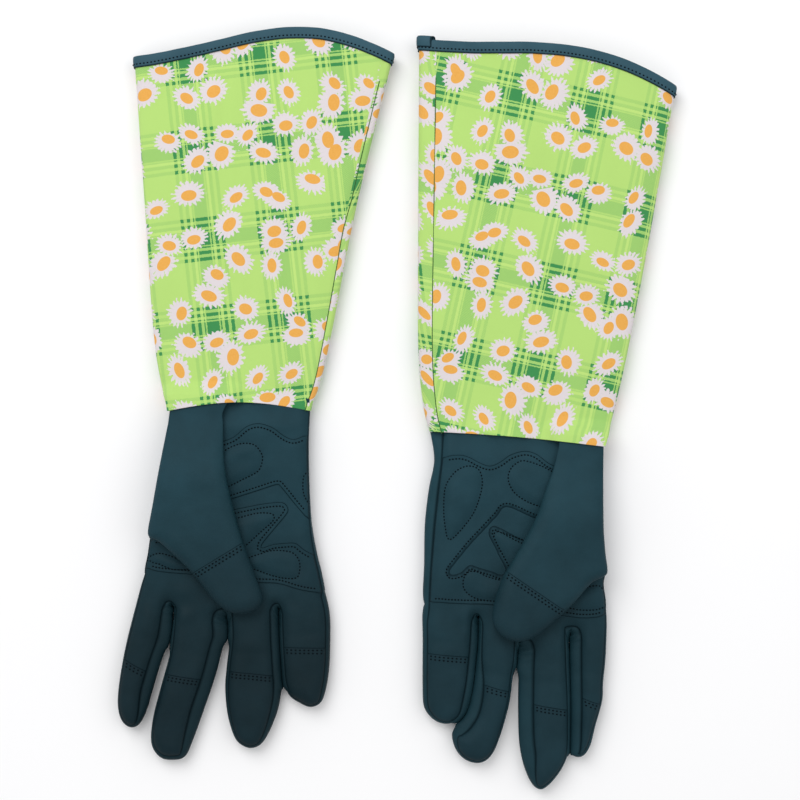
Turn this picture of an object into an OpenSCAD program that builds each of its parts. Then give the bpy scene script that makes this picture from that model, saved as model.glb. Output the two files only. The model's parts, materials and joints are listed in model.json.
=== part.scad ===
// A pair of long-cuffed gardening gloves lying flat, palms up, fingers towards -Y.
// Each glove is drawn in its own frame: thumb side at -X, fingers towards -Y, the wrist
// seam near Y = 0 and the table at Z = 0. The left glove is that frame mirrored in X.

/* [Pair] */
// Distance of the right glove's middle from the pair's middle line
right_x = 101; // [95:1:130]
// Distance of the left glove's middle from the pair's middle line
left_x = 76.8; // [70:0.2:110]
// How much lower the left glove lies than the right glove
left_drop = 20.5; // [0:0.5:40]
// Shift of the pair along Y that centres its box on the origin
pair_shift = 0.3; // [-5:0.1:5]

/* [Hand] */
// Height of the hand and fingers where they lie
hand_h = 15; // [11:0.5:20]
// Thickness of the hand's synthetic leather
leather_t = 1.2; // [0.8:0.1:2]
// Thickness of the palm patch over its pads
patch_t = 2; // [1.6:0.1:3]
// Thickness of the soft pads under the palm patch
pad_t = 1.4; // [0.6:0.1:1.5]
// Clear gap left at each bending line
bend_gap = 0.4; // [0.3:0.1:1]

/* [Thumb] */
// Height at which the folded thumb rests over the palm
thumb_rest = 18; // [17.6:0.1:22]
// Height of the folded thumb itself
thumb_h = 12.4; // [9:0.1:16]

/* [Cuff] */
// Flattened height of the cuff at the wrist
cuff_wrist_h = 13; // [11:0.5:18]
// Flattened height of the cuff at its mouth
cuff_mouth_h = 16; // [12:0.5:24]
// Thickness of the printed cotton
cotton_t = 1; // [0.8:0.1:1.5]
// Width of the leather binding round the mouth
binding_w = 6.5; // [5:0.5:12]
// Thickness of the binding on each side of the cotton
binding_t = 0.9; // [0.6:0.1:1.2]
// How far the mouth's edge arches up, on the right and on the left glove
mouth_arch = [17, 13]; // [0:1:30]

/* [Elastic] */
// Width, height and thickness of the elastic inside the wrist
elastic = [70, 7, 1.2]; // [1:0.1:80]

/* [Hidden] */
RIGHT = 0;
LEFT = 1;
teal = [0.14, 0.25, 0.29];
dark_teal = [0.11, 0.20, 0.24];
lime = [0.68, 0.88, 0.42];
foam = [0.8, 0.8, 0.75];
curve_steps = 3;        // facets between two points of an outline
cuff_sides = 32;        // facets round the cuff
binding_clear = 0.1;    // room between the binding and the cotton
clip_inset = 0.4;       // how far the patches stay inside the seam
pad_room = 0.2;         // room round a pad in its pocket
far = 400;              // beyond every edge
joint_names = ["index", "middle", "ring", "little"];

// Outlines of the palms, from the wrist's thumb side round the finger roots and back up
palm_edge = [
    [[-45, 0], [-47.5, -18], [-51, -38], [-55, -60], [-58, -80], [-60, -94], [-62, -105],
     [-60, -114], [-52, -119], [-43.8, -122], [-28, -127], [-10, -129.8], [7, -129],
     [23, -124], [38, -124], [53, -121], [52.5, -109], [49, -94], [45.5, -74], [44, -48],
     [43.6, -22], [44.5, 0]],
    [[-55, -4.5], [-54.2, -24], [-54, -54], [-55, -72], [-56.5, -85], [-55.5, -93],
     [-57, -104], [-56, -113], [-48, -117], [-38, -119], [-20, -125], [-1, -127.5],
     [13, -121], [26, -108.5], [42, -109.5], [55, -111], [60.5, -103], [60, -80],
     [59.5, -54], [57, -32], [53.5, -13], [56, 5]]
];
// Width of side wall seen from above on each palm: thumb side, finger roots, little side
palm_seam = [[1.6, 1.6, 1.6], [1.6, 1.6, 6.2]];

// Outlines of the fingers, from the thumb side of the root round the tip and back
finger_edge = [
    [
        [[-56, -96], [-62, -107], [-68, -128], [-75.1, -157], [-79.3, -185], [-77.8, -199.2],
         [-72.3, -205.3], [-66.3, -204.3], [-61.3, -196], [-56.8, -181], [-52, -165],
         [-46.5, -148], [-45, -132], [-44.6, -112]],
        [[-41, -110], [-41.8, -128], [-43, -142], [-46.3, -160], [-51.8, -180], [-56.8, -200],
         [-57.8, -215.9], [-52.3, -224.8], [-44.1, -226.6], [-36, -224.3], [-30.5, -212.5],
         [-24, -194.5], [-17, -174], [-12.5, -157], [-9.7, -146], [-10.8, -132], [-12, -112]],
        [[-6, -110], [-7.6, -130], [-7.2, -147], [-9.3, -166], [-10.3, -181], [-8.6, -198],
         [-4.1, -212.2], [1.4, -217.6], [7.7, -218.9], [14, -215.3], [20, -204.5], [24.3, -192],
         [25.8, -180], [25, -166], [24, -150], [23.5, -132], [23, -112]],
        [[25, -108], [25, -130], [25.5, -148], [26.4, -163], [27.6, -176], [31, -185],
         [38, -190], [45, -192.6], [51.5, -189.5], [54.5, -181.5], [56.5, -170],
         [57.3, -155], [57, -132], [52, -112], [48, -104]]
    ],
    [
        [[-53, -98], [-57.3, -111], [-57, -138], [-55.3, -156], [-54.7, -168], [-50.3, -184],
         [-47.3, -196.1], [-43.3, -202.8], [-38.6, -204.3], [-35, -201.3], [-34.8, -188.3],
         [-35.2, -172], [-35, -148], [-35, -128], [-36, -108]],
        [[-32, -108], [-32, -128], [-32.6, -147], [-33.4, -166], [-33.6, -184], [-33, -200],
         [-29.6, -209.9], [-24, -218.2], [-19, -223.3], [-15, -225.1], [-10.5, -222.8],
         [-6.5, -216], [-3.2, -206.1], [-1.2, -194], [-0.6, -177], [-0.7, -158], [-1, -142],
         [-1.8, -128], [-2, -108]],
        [[-0.5, -108], [0.2, -128], [1, -142], [2.8, -152], [4.6, -167], [7.7, -180],
         [11.4, -191.8], [15.4, -201.2], [20.4, -206.6], [26.7, -208.1], [34, -205.6],
         [39.5, -199.6], [42, -191.2], [40.5, -186], [35, -180.5], [31, -174], [28.6, -165],
         [26.8, -154], [25.6, -143], [24.2, -130], [24, -106]],
        [[27, -96], [26, -115], [26.2, -131], [27.4, -144], [28.6, -155], [30.6, -166],
         [33.8, -175.5], [38.5, -180.5], [44, -182.8], [50.5, -182], [56.3, -178],
         [60.3, -171], [61, -158], [61, -144], [60.9, -128], [60.6, -108], [54, -98]]
    ]
];
// Width of side wall seen from above on each finger: thumb side, tip, little side
finger_seam = [
    [[1.6, 2.4, 7], [1.6, 3.5, 8], [2.4, 2.4, 4.6], [1.8, 2, 2.8]],
    [[1.6, 2.6, 6], [1.6, 2.6, 9.5], [1.6, 2.2, 6.5], [4.4, 2.2, 3]]
];
// Where each finger bends, and the way it points
finger_bend = [
    [[-60, -147], [-32, -157], [8.5, -157], [41.5, -145]],
    [[-45.5, -149], [-17, -155], [14, -150], [43.5, -130]]
];
finger_way = [
    [[-0.17, -1], [-0.2, -1], [0, -1], [0.07, -1]],
    [[0.1, -1], [0.04, -1], [0.15, -1], [0.05, -1]]
];
// A point on the edge of each fingertip patch, and the way the tip points there
tip_patch_at = [
    [[-67.6, -163.8], [-37.5, -171.6], [7.2, -168.8], [40.3, -152.4]],
    [[-47.1, -166.6], [-21.7, -170.2], [16.9, -157.8], [44.5, -137.5]]
];
tip_patch_way = [
    [[-0.49, -1], [-0.15, -1], [-0.1, -1], [-0.02, -1]],
    [[0.33, -1], [0.18, -1], [0.25, -1], [0.09, -1]]
];

// Outlines of the thumbs, down the fold at the hand's edge, round the tip and back up
thumb_edge = [
    [[-44, -1], [-48, -22], [-52, -44], [-55.5, -64], [-58, -78], [-56.5, -82.5], [-51, -85],
     [-40, -95], [-28, -107], [-16, -122], [-8, -128.5], [0, -130.6], [9, -129],
     [14.3, -124], [14.3, -118], [10.5, -108], [3.5, -88], [-4.5, -60], [-9.5, -34],
     [-10.8, -2.6]],
    [[-54.5, -4], [-54, -28], [-54, -54], [-55.2, -72], [-56.5, -83], [-54, -86.8],
     [-46, -91], [-35, -103.5], [-24, -113.5], [-12, -123.5], [-3, -127.4], [5, -127],
     [12, -123], [16.3, -115], [15.5, -104], [10, -87], [-2, -66], [-11, -49], [-16, -35],
     [-23, -16], [-26, -4]]
];
// Where the thumbtip patch starts, and the way the thumb points there
thumb_tip_from = [[-15, -94.7], [-11.7, -95.5]];
thumb_tip_way = [[0.51, -0.86], [0.555, -0.83]];

// Edges of the cuffs from the wrist to the mouth
cuff_thumb_edge = [
    [[-45.5, 0.6], [-51.5, 18], [-56.5, 52], [-62, 133], [-68.3, 224.5]],
    [[-55.4, -3.4], [-61, 14], [-70.5, 55], [-84.5, 128], [-101.5, 226.3]]
];
cuff_little_edge = [
    [[45, 0.6], [51.5, 18], [59, 52], [75, 133], [98, 226.5]],
    [[56.5, 6.2], [60.5, 22], [63.8, 60], [63.8, 145], [63.2, 256.2]]
];

// The palm patch and what lies on it; the right glove lies rolled over a little
patch_edge = [
    [[64, -15.2], [54, -12.5], [47, -14.1], [41, -17.6], [34, -20], [27.5, -17.3], [21, -12.5],
     [12, -9.8], [4, -11.9], [-5, -19], [-18, -23.8], [-31, -32.5], [-35, -56], [-44, -79],
     [-52, -83.5], [-63, -84.5], [-67, -97], [-62, -101.2], [-54.3, -104.2], [-41.6, -105.8],
     [-30.3, -106.7], [-10, -109.5], [10.8, -111.7], [24.6, -112.5], [38, -116.3],
     [49, -118.2], [58, -119], [62, -100], [62, -60], [64, -30]],
    [[48, -12], [38, -9.5], [31, -11], [25, -14.2], [18, -16.5], [11.5, -14], [5, -9.5],
     [-4, -7], [-12, -9], [-21, -15.5], [-34, -20], [-47, -28], [-51, -50], [-52, -74],
     [-55, -92], [-57, -110], [-44, -114], [-26, -112], [-6, -108.5], [17, -105.5], [34, -105],
     [50, -104], [58, -102], [58, -84], [56, -50], [52, -24]]
];
window_edge = [
    [[23.4, -49.2], [12.9, -52.5], [-5.6, -58.4], [-20.7, -63.2], [-24, -65.6], [-20, -67.4],
     [-12.3, -66.4], [0.3, -64], [12.9, -61.5], [23.8, -60.3], [28.4, -60.9], [30.8, -64.3],
     [29.7, -68.1], [22.1, -77.3], [14.6, -86.5], [14.1, -89.5], [20.4, -87.4], [28, -86.5],
     [35.5, -86.5], [40.6, -90.3], [46.4, -93.6], [53, -95.5], [55, -85], [49, -77],
     [42.7, -70.6], [34.7, -61.3], [26.3, -50.9]],
    [[7, -43], [-10, -50], [-24, -54], [-30, -61], [-27, -68], [-14, -67], [-2, -63],
     [13, -55.4], [17.5, -55.6], [19, -59.5], [17.5, -64], [13, -73], [8.3, -82.5],
     [10.6, -86], [16.6, -84], [23.5, -82], [31, -80], [36.5, -84.5], [42, -86], [43.4, -83.5],
     [37, -75], [29.5, -66], [21, -57], [13, -48.5]]
];
ulnar_pad_edge = [
    [[44, -36], [41.6, -39.5], [40.2, -45], [40, -52], [41.3, -58], [43.5, -64], [48, -62],
     [50, -50], [48, -40]],
    [[31, -16.4], [25, -18.8], [22.7, -26], [24, -35], [28, -46], [35, -56], [44, -64],
     [47, -54], [47.7, -42], [46.6, -30], [42, -22], [37, -18]]
];
thumb_pad_edge = [
    [[2.8, -22.3], [-3.9, -24], [-9.4, -26.9], [-18, -33], [-24, -42], [-19, -50], [-10, -51],
     [-5.6, -49.6], [1.1, -46.2], [9.5, -42], [12.9, -38.7], [14.6, -32.8], [13.7, -28.6],
     [9.5, -23.6]],
    [[-4, -13], [-14, -16], [-24, -21], [-34, -26], [-37, -33], [-32, -41], [-22, -44],
     [-12, -42], [-3, -38], [3.5, -32.5], [6.5, -25], [5, -18.5], [1, -14.6]]
];
wedge_pad_edge = [
    [[11.2, -67], [0.3, -69.7], [-12, -73.5], [-18, -81], [-11, -89], [-3, -91.5],
     [3.6, -88.2], [12.9, -79.8], [20.9, -72.7], [21.9, -68.9], [19.2, -67.2]],
    [[12.5, -58.5], [0, -62.5], [-12, -67.5], [-20, -72.5], [-18, -80], [-8, -86], [3, -85],
     [8, -77], [14, -65.5], [15.6, -60.5]]
];
knuckle_pad_edge = [
    [[28, -91.1], [19.6, -91.1], [12.9, -93.1], [6, -95.5], [3, -99], [4.5, -101.6],
     [10.4, -103.7], [19.6, -107.1], [28, -109], [36, -108.8], [38.3, -104.1], [38, -97.8],
     [34.3, -92.8]],
    [[20, -87], [12, -89.2], [3, -90.5], [-5, -93], [-5, -100], [4, -103], [17, -103],
     [26, -101.8], [31.5, -99], [35, -94.5], [35, -88.5], [31.5, -84], [26, -84.2]]
];
index_pad_edge = [
    [[-51.7, -92.8], [-58.5, -95.3], [-57, -98.5], [-51.7, -100], [-43.3, -103.3],
     [-34, -103.3], [-31, -101], [-35, -98.5], [-43.3, -94.9]],
    [[-44, -94], [-53, -93.5], [-55.5, -100], [-54, -107.5], [-43, -109], [-32, -107.4],
     [-28.5, -104.5], [-35, -98.5]]
];

// ---- Curves and outlines ----

function mix(a, b, t) = a + (b - a) * t;
function ease(t) = let (c = max(0, min(1, t))) c * c * (3 - 2 * c);
function unit(v) = v / norm(v);

// One stretch of a smooth curve through b and c
function through(a, b, c, d, t) =
    0.5 * (2 * b + (c - a) * t + (2 * a - 5 * b + 4 * c - d) * t * t
           + (3 * b - a - 3 * c + d) * t * t * t);

// A smooth curve from the first point to the last
function open_curve(p, steps = curve_steps) = let (last = len(p) - 1) [
    for (i = [0:last - 1], k = [0:steps - 1])
        through(p[max(i - 1, 0)], p[i], p[i + 1], p[min(i + 2, last)], k / steps),
    p[last]
];

// A smooth closed curve
function ring_curve(p, steps = curve_steps) = let (n = len(p)) [
    for (i = [0:n - 1], k = [0:steps - 1])
        through(p[(i + n - 1) % n], p[i], p[(i + 1) % n], p[(i + 2) % n], k / steps)
];

// The way inwards at point i of an outline that runs anticlockwise
function inward(p, i, closed) =
    let (n = len(p),
         a = closed ? p[(i + n - 1) % n] : p[max(i - 1, 0)],
         b = closed ? p[(i + 1) % n] : p[min(i + 1, n - 1)],
         t = unit(b - a))
    [-t[1], t[0]];

// Inset along an open outline: first side, far end and last side have their own widths
function side_width(t, w, last) =
    t < 0.5 ? mix(w[0], w[1], ease((t - 0.3) / 0.16))
            : mix(w[1], w[2], ease((t - last[0]) / last[1]));
function inset_sides(p, w, last = [0.54, 0.16]) = let (n = len(p)) [
    for (i = [0:n - 1]) p[i] + side_width(i / (n - 1), w, last) * inward(p, i, false)
];
function inset_palm(g, w) = inset_sides(palm_curve(g), w, [0.66, 0.2]);
function inset_even(p, d) = inset_sides(p, [d, d, d]);
function inset_ring(p, d) = [for (i = [0:len(p) - 1]) p[i] + d * inward(p, i, true)];

function palm_curve(g) = open_curve(palm_edge[g]);
function finger_curve(g, f) = open_curve(finger_edge[g][f]);
function thumb_curve(g) = open_curve(thumb_edge[g]);

// The half plane beyond a point, in a given way
module beyond(point, way) {
    translate(point)
        rotate(atan2(way[1], way[0]))
            translate([0, -far / 2])
                square([far, far]);
}

module slab(bottom, top) {
    translate([0, 0, bottom])
        linear_extrude(top - bottom)
            children();
}

module place(g) {
    if (g == RIGHT)
        translate([-right_x, pair_shift, 0]) children();
    else
        translate([left_x, pair_shift - left_drop, 0]) mirror([1, 0, 0]) children();
}

// ---- Hand ----

// The part of a finger that belongs to the hand
module finger_root(g, f) {
    difference() {
        children();
        beyond(finger_bend[g][f], finger_way[g][f]);
    }
}

module hand_outline(g) {
    polygon(palm_curve(g));
    for (f = [0:3]) finger_root(g, f) polygon(finger_curve(g, f));
}

// The palm's outline inset along its sides and cut straight at the wrist
module palm_face(g, widths) {
    intersection() {
        polygon(palm_curve(g));
        polygon(inset_palm(g, widths));
    }
}

module hand_front(g) {
    palm_face(g, palm_seam[g]);
    for (f = [0:3])
        finger_root(g, f) polygon(inset_sides(finger_curve(g, f), finger_seam[g][f]));
}

function swapped(w) = [w[2], w[1], w[0]];

module hand_back(g) {
    palm_face(g, swapped(palm_seam[g]));
    for (f = [0:3])
        finger_root(g, f)
            polygon(inset_sides(finger_curve(g, f), swapped(finger_seam[g][f])));
}

module hand_inside(g) {
    edge = palm_edge[g];
    first = edge[0];
    last = edge[len(edge) - 1];
    across = unit(last - first);
    up = [-across[1], across[0]];
    polygon(inset_even(palm_curve(g), leather_t));
    polygon([first + leather_t * across - 2 * up, last - leather_t * across - 2 * up,
             last - leather_t * across + 2 * up, first + leather_t * across + 2 * up]);
    for (f = [0:3]) polygon(inset_even(finger_curve(g, f), leather_t));
}

module palm_panel(g) {
    color(teal) slab(hand_h - leather_t, hand_h) hand_front(g);
}

module back_panel(g) {
    color(teal) slab(0, leather_t) hand_back(g);
}

module fourchettes(g) {
    color(dark_teal) {
        slab(leather_t, hand_h - leather_t)
            difference() { hand_outline(g); hand_inside(g); }
        slab(0, leather_t)
            difference() { hand_outline(g); hand_back(g); }
        slab(hand_h - leather_t, hand_h)
            difference() { hand_outline(g); hand_front(g); }
    }
}

module wrist_elastic(g) {
    mid = (palm_edge[g][0] + palm_edge[g][len(palm_edge[g]) - 1]) / 2;
    color(foam)
        slab(leather_t, leather_t + elastic[2])
            translate([mid[0] - elastic[0] / 2, mid[1] - 6 - elastic[1]])
                square([elastic[0], elastic[1]]);
}

// ---- Palm patch and pads ----

module patch_clip(g) {
    intersection() {
        children();
        polygon(inset_palm(g, palm_seam[g] + [clip_inset, clip_inset, clip_inset]));
    }
}

module pad_shape(g, edge, room = 0) {
    patch_clip(g) polygon(inset_ring(ring_curve(edge[g]), room));
}

module pads_all(g) {
    for (edge = [ulnar_pad_edge, thumb_pad_edge, wedge_pad_edge, knuckle_pad_edge,
                 index_pad_edge])
        pad_shape(g, edge);
}

module palm_patch(g) {
    color(dark_teal)
        difference() {
            slab(hand_h, hand_h + patch_t)
                difference() {
                    patch_clip(g) polygon(ring_curve(patch_edge[g]));
                    polygon(ring_curve(window_edge[g]));
                }
            slab(hand_h - 1, hand_h + pad_t) pads_all(g);
        }
}

module pad(g, edge) {
    color(foam) slab(hand_h, hand_h + pad_t - pad_room / 2) pad_shape(g, edge, pad_room);
}

module ulnar_heel_pad(g) { pad(g, ulnar_pad_edge); }

module thumb_heel_pad(g) { pad(g, thumb_pad_edge); }

module palm_pads(g) {
    pad(g, wedge_pad_edge);
    pad(g, knuckle_pad_edge);
    pad(g, index_pad_edge);
}

// ---- Fingers beyond their bends ----

module fingertip(g, f) {
    way = unit(finger_way[g][f]);
    intersection() {
        children();
        beyond(finger_bend[g][f] + bend_gap * way, way);
    }
}

module front_panel(g, f) {
    color(teal)
        slab(hand_h - leather_t, hand_h)
            fingertip(g, f) polygon(inset_sides(finger_curve(g, f), finger_seam[g][f]));
}

module finger_back_panel(g, f) {
    color(teal)
        slab(0, leather_t)
            fingertip(g, f)
                polygon(inset_sides(finger_curve(g, f), swapped(finger_seam[g][f])));
}

module side_wall(g, f) {
    curve = finger_curve(g, f);
    seam = finger_seam[g][f];
    color(dark_teal) {
        slab(leather_t, hand_h - leather_t)
            fingertip(g, f)
                difference() { polygon(curve); polygon(inset_even(curve, leather_t)); }
        slab(0, leather_t)
            fingertip(g, f)
                difference() { polygon(curve); polygon(inset_sides(curve, swapped(seam))); }
        slab(hand_h - leather_t, hand_h)
            fingertip(g, f)
                difference() { polygon(curve); polygon(inset_sides(curve, seam)); }
    }
}

module tip_patch(g, f) {
    color(teal)
        slab(hand_h, hand_h + leather_t)
            intersection() {
                polygon(inset_even(finger_curve(g, f), clip_inset));
                beyond(tip_patch_at[g][f], tip_patch_way[g][f]);
            }
}

// ---- Thumb ----

// The thumb's cavity, open at the wrist end
module thumb_inside(g) {
    edge = thumb_edge[g];
    first = edge[0];
    last = edge[len(edge) - 1];
    across = unit(last - first);
    up = [-across[1], across[0]];
    polygon(inset_even(thumb_curve(g), leather_t));
    polygon([first + leather_t * across - 2 * up, last - leather_t * across - 2 * up,
             last - leather_t * across + 2 * up, first + leather_t * across + 2 * up]);
}

module thumb_outer_panel(g) {
    top = thumb_rest + thumb_h;
    color(teal) {
        slab(top - leather_t, top) polygon(thumb_curve(g));
        slab(thumb_rest + leather_t, top - leather_t)
            difference() { polygon(thumb_curve(g)); thumb_inside(g); }
    }
}

module thumb_inner_panel(g) {
    color(teal) slab(thumb_rest, thumb_rest + leather_t) polygon(thumb_curve(g));
}

module thumb_tip_patch(g) {
    top = thumb_rest + thumb_h;
    color(dark_teal)
        slab(top, top + leather_t)
            intersection() {
                polygon(inset_even(thumb_curve(g), clip_inset));
                beyond(thumb_tip_from[g], thumb_tip_way[g]);
            }
}

// ---- Cuff ----

// Where the middle of the cuff lies above the table
function cuff_mid(h) = h / 2 + binding_t + binding_clear;

// Point j of ring i round the cuff, moved outwards by off
function cuff_point(g, i, j, off) =
    let (thumb = open_curve(cuff_thumb_edge[g], 2)[i],
         little = open_curve(cuff_little_edge[g], 2)[i],
         s = i / cuff_rings,
         across = unit(little - thumb),
         half = norm(little - thumb) / 2 + off,
         h = mix(cuff_wrist_h, cuff_mouth_h, s),
         turn = 360 * j / cuff_sides,
         u = sign(cos(turn)) * sqrt(abs(cos(turn))),
         v = sign(sin(turn)) * sqrt(abs(sin(turn))),
         a = (1 + u) / 2,
         lift = mouth_arch[g] * s * s * sin(180 * pow(g == LEFT ? 1 - a : a, 1.5)),
         p = (thumb + little) / 2 + half * u * across)
    [p[0], p[1] + lift, cuff_mid(h) + v * (h / 2 + off)];
cuff_rings = 2 * (len(cuff_thumb_edge[0]) - 1);

// The same, moved along the cuff past its mouth
function mouth_point(g, j, along, off) =
    let (here = cuff_point(g, cuff_rings, j, off),
         way = unit(cuff_point(g, cuff_rings, j, 0) - cuff_point(g, cuff_rings - 1, j, 0)))
    here + along * [way[0], way[1], 0];

// Faces of a skin of closed rows, joined row to row and the last row to the first
function wrapped_faces(rows, n) = [
    for (r = [0:rows - 1], j = [0:n - 1])
        let (a = r * n, b = ((r + 1) % rows) * n, k = (j + 1) % n)
        each [[a + j, a + k, b + k], [a + j, b + k, b + j]]
];

module cuff_sleeve(g) {
    outer = [for (i = [0:cuff_rings], j = [0:cuff_sides - 1]) cuff_point(g, i, j, 0)];
    inner = [for (i = [cuff_rings:-1:0], j = [0:cuff_sides - 1])
             cuff_point(g, i, j, -cotton_t)];
    color(lime)
        polyhedron(concat(outer, inner), wrapped_faces(2 * (cuff_rings + 1), cuff_sides));
}

// The binding's folded strip, as [distance past the mouth, offset from the cotton]
binding_profile = [
    [-binding_w, binding_clear], [0, binding_clear],
    [binding_clear, binding_clear], [binding_clear, -cotton_t - binding_clear],
    [-binding_w, -cotton_t - binding_clear], [-binding_w, -cotton_t - binding_t],
    [binding_t, -cotton_t - binding_t], [binding_t, binding_t], [-binding_w, binding_t]
];

module cuff_binding(g) {
    rows = [for (k = [len(binding_profile) - 1:-1:0]) binding_profile[k]];
    points = [for (r = rows, j = [0:cuff_sides - 1]) mouth_point(g, j, r[0], r[1])];
    color(dark_teal) polyhedron(points, wrapped_faces(len(rows), cuff_sides));
}

// ---- Everything in its place ----

module piece(g, name) {
    place(g) {
        if (name == "cuff_sleeve") cuff_sleeve(g);
        if (name == "cuff_binding") cuff_binding(g);
        if (name == "wrist_elastic") wrist_elastic(g);
        if (name == "palm_panel") palm_panel(g);
        if (name == "back_panel") back_panel(g);
        if (name == "fourchettes") fourchettes(g);
        if (name == "palm_patch") palm_patch(g);
        if (name == "ulnar_heel_pad") ulnar_heel_pad(g);
        if (name == "thumb_heel_pad") thumb_heel_pad(g);
        if (name == "palm_pads") palm_pads(g);
        if (name == "thumb_outer_panel") thumb_outer_panel(g);
        if (name == "thumb_inner_panel") thumb_inner_panel(g);
        if (name == "thumb_tip_patch") thumb_tip_patch(g);
        for (f = [0:3]) {
            if (name == str(joint_names[f], "_front_panel")) front_panel(g, f);
            if (name == str(joint_names[f], "_back_panel")) finger_back_panel(g, f);
            if (name == str(joint_names[f], "_side_wall")) side_wall(g, f);
            if (name == str(joint_names[f], "_tip_patch")) tip_patch(g, f);
        }
    }
}

piece(RIGHT, "cuff_sleeve");  // right_cuff_sleeve
piece(RIGHT, "cuff_binding");  // right_cuff_binding
piece(RIGHT, "wrist_elastic");  // right_wrist_elastic
piece(RIGHT, "palm_panel");  // right_palm_panel
piece(RIGHT, "back_panel");  // right_back_panel
piece(RIGHT, "fourchettes");  // right_fourchettes
piece(RIGHT, "palm_patch");  // right_palm_patch
piece(RIGHT, "ulnar_heel_pad");  // right_ulnar_heel_pad
piece(RIGHT, "thumb_heel_pad");  // right_thumb_heel_pad
piece(RIGHT, "palm_pads");  // right_palm_pads
piece(RIGHT, "thumb_outer_panel");  // right_thumb_outer_panel
piece(RIGHT, "thumb_inner_panel");  // right_thumb_inner_panel
piece(RIGHT, "thumb_tip_patch");  // right_thumb_tip_patch
piece(RIGHT, "index_front_panel");  // right_index_front_panel
piece(RIGHT, "index_back_panel");  // right_index_back_panel
piece(RIGHT, "index_side_wall");  // right_index_side_wall
piece(RIGHT, "index_tip_patch");  // right_index_tip_patch
piece(RIGHT, "middle_front_panel");  // right_middle_front_panel
piece(RIGHT, "middle_back_panel");  // right_middle_back_panel
piece(RIGHT, "middle_side_wall");  // right_middle_side_wall
piece(RIGHT, "middle_tip_patch");  // right_middle_tip_patch
piece(RIGHT, "ring_front_panel");  // right_ring_front_panel
piece(RIGHT, "ring_back_panel");  // right_ring_back_panel
piece(RIGHT, "ring_side_wall");  // right_ring_side_wall
piece(RIGHT, "ring_tip_patch");  // right_ring_tip_patch
piece(RIGHT, "little_front_panel");  // right_little_front_panel
piece(RIGHT, "little_back_panel");  // right_little_back_panel
piece(RIGHT, "little_side_wall");  // right_little_side_wall
piece(RIGHT, "little_tip_patch");  // right_little_tip_patch
piece(LEFT, "cuff_sleeve");  // left_cuff_sleeve
piece(LEFT, "cuff_binding");  // left_cuff_binding
piece(LEFT, "wrist_elastic");  // left_wrist_elastic
piece(LEFT, "palm_panel");  // left_palm_panel
piece(LEFT, "back_panel");  // left_back_panel
piece(LEFT, "fourchettes");  // left_fourchettes
piece(LEFT, "palm_patch");  // left_palm_patch
piece(LEFT, "ulnar_heel_pad");  // left_ulnar_heel_pad
piece(LEFT, "thumb_heel_pad");  // left_thumb_heel_pad
piece(LEFT, "palm_pads");  // left_palm_pads
piece(LEFT, "thumb_outer_panel");  // left_thumb_outer_panel
piece(LEFT, "thumb_inner_panel");  // left_thumb_inner_panel
piece(LEFT, "thumb_tip_patch");  // left_thumb_tip_patch
piece(LEFT, "index_front_panel");  // left_index_front_panel
piece(LEFT, "index_back_panel");  // left_index_back_panel
piece(LEFT, "index_side_wall");  // left_index_side_wall
piece(LEFT, "index_tip_patch");  // left_index_tip_patch
piece(LEFT, "middle_front_panel");  // left_middle_front_panel
piece(LEFT, "middle_back_panel");  // left_middle_back_panel
piece(LEFT, "middle_side_wall");  // left_middle_side_wall
piece(LEFT, "middle_tip_patch");  // left_middle_tip_patch
piece(LEFT, "ring_front_panel");  // left_ring_front_panel
piece(LEFT, "ring_back_panel");  // left_ring_back_panel
piece(LEFT, "ring_side_wall");  // left_ring_side_wall
piece(LEFT, "ring_tip_patch");  // left_ring_tip_patch
piece(LEFT, "little_front_panel");  // left_little_front_panel
piece(LEFT, "little_back_panel");  // left_little_back_panel
piece(LEFT, "little_side_wall");  // left_little_side_wall
piece(LEFT, "little_tip_patch");  // left_little_tip_patch
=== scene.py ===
"""The looks of a pair of long-cuffed gardening gloves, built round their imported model.

Each glove is worked out in its own flat frame, in millimetres: thumb side at -x, fingers
towards -y, the wrist seam near y = 0 and the table at z = 0. The left glove is mirrored.
"""

import json
import math

import bpy
import numpy as np
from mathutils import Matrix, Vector
from mathutils.geometry import delaunay_2d_cdt
from mathutils.kdtree import KDTree


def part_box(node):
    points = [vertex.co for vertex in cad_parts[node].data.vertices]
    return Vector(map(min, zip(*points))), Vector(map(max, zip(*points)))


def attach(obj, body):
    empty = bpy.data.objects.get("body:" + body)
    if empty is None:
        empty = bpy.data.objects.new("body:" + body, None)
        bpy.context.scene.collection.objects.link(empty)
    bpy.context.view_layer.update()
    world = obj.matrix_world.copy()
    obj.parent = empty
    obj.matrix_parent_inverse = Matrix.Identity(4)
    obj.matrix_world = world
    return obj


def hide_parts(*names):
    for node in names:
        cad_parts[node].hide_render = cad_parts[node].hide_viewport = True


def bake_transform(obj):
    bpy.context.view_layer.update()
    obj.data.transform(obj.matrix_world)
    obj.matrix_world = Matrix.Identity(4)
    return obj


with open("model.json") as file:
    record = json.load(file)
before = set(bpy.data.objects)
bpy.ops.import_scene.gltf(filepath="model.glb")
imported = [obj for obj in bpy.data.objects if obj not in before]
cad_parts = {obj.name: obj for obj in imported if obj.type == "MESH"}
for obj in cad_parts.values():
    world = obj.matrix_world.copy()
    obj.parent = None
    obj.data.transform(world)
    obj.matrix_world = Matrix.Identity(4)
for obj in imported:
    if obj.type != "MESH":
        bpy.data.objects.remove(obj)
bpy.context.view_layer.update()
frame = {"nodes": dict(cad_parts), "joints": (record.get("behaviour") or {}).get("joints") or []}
JOINTS = {j["name"]: j for j in frame["joints"]}
MM = 0.001
FINGERS = ["index", "middle", "ring", "little"]

# ---- Sizes, in millimetres ----

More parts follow.
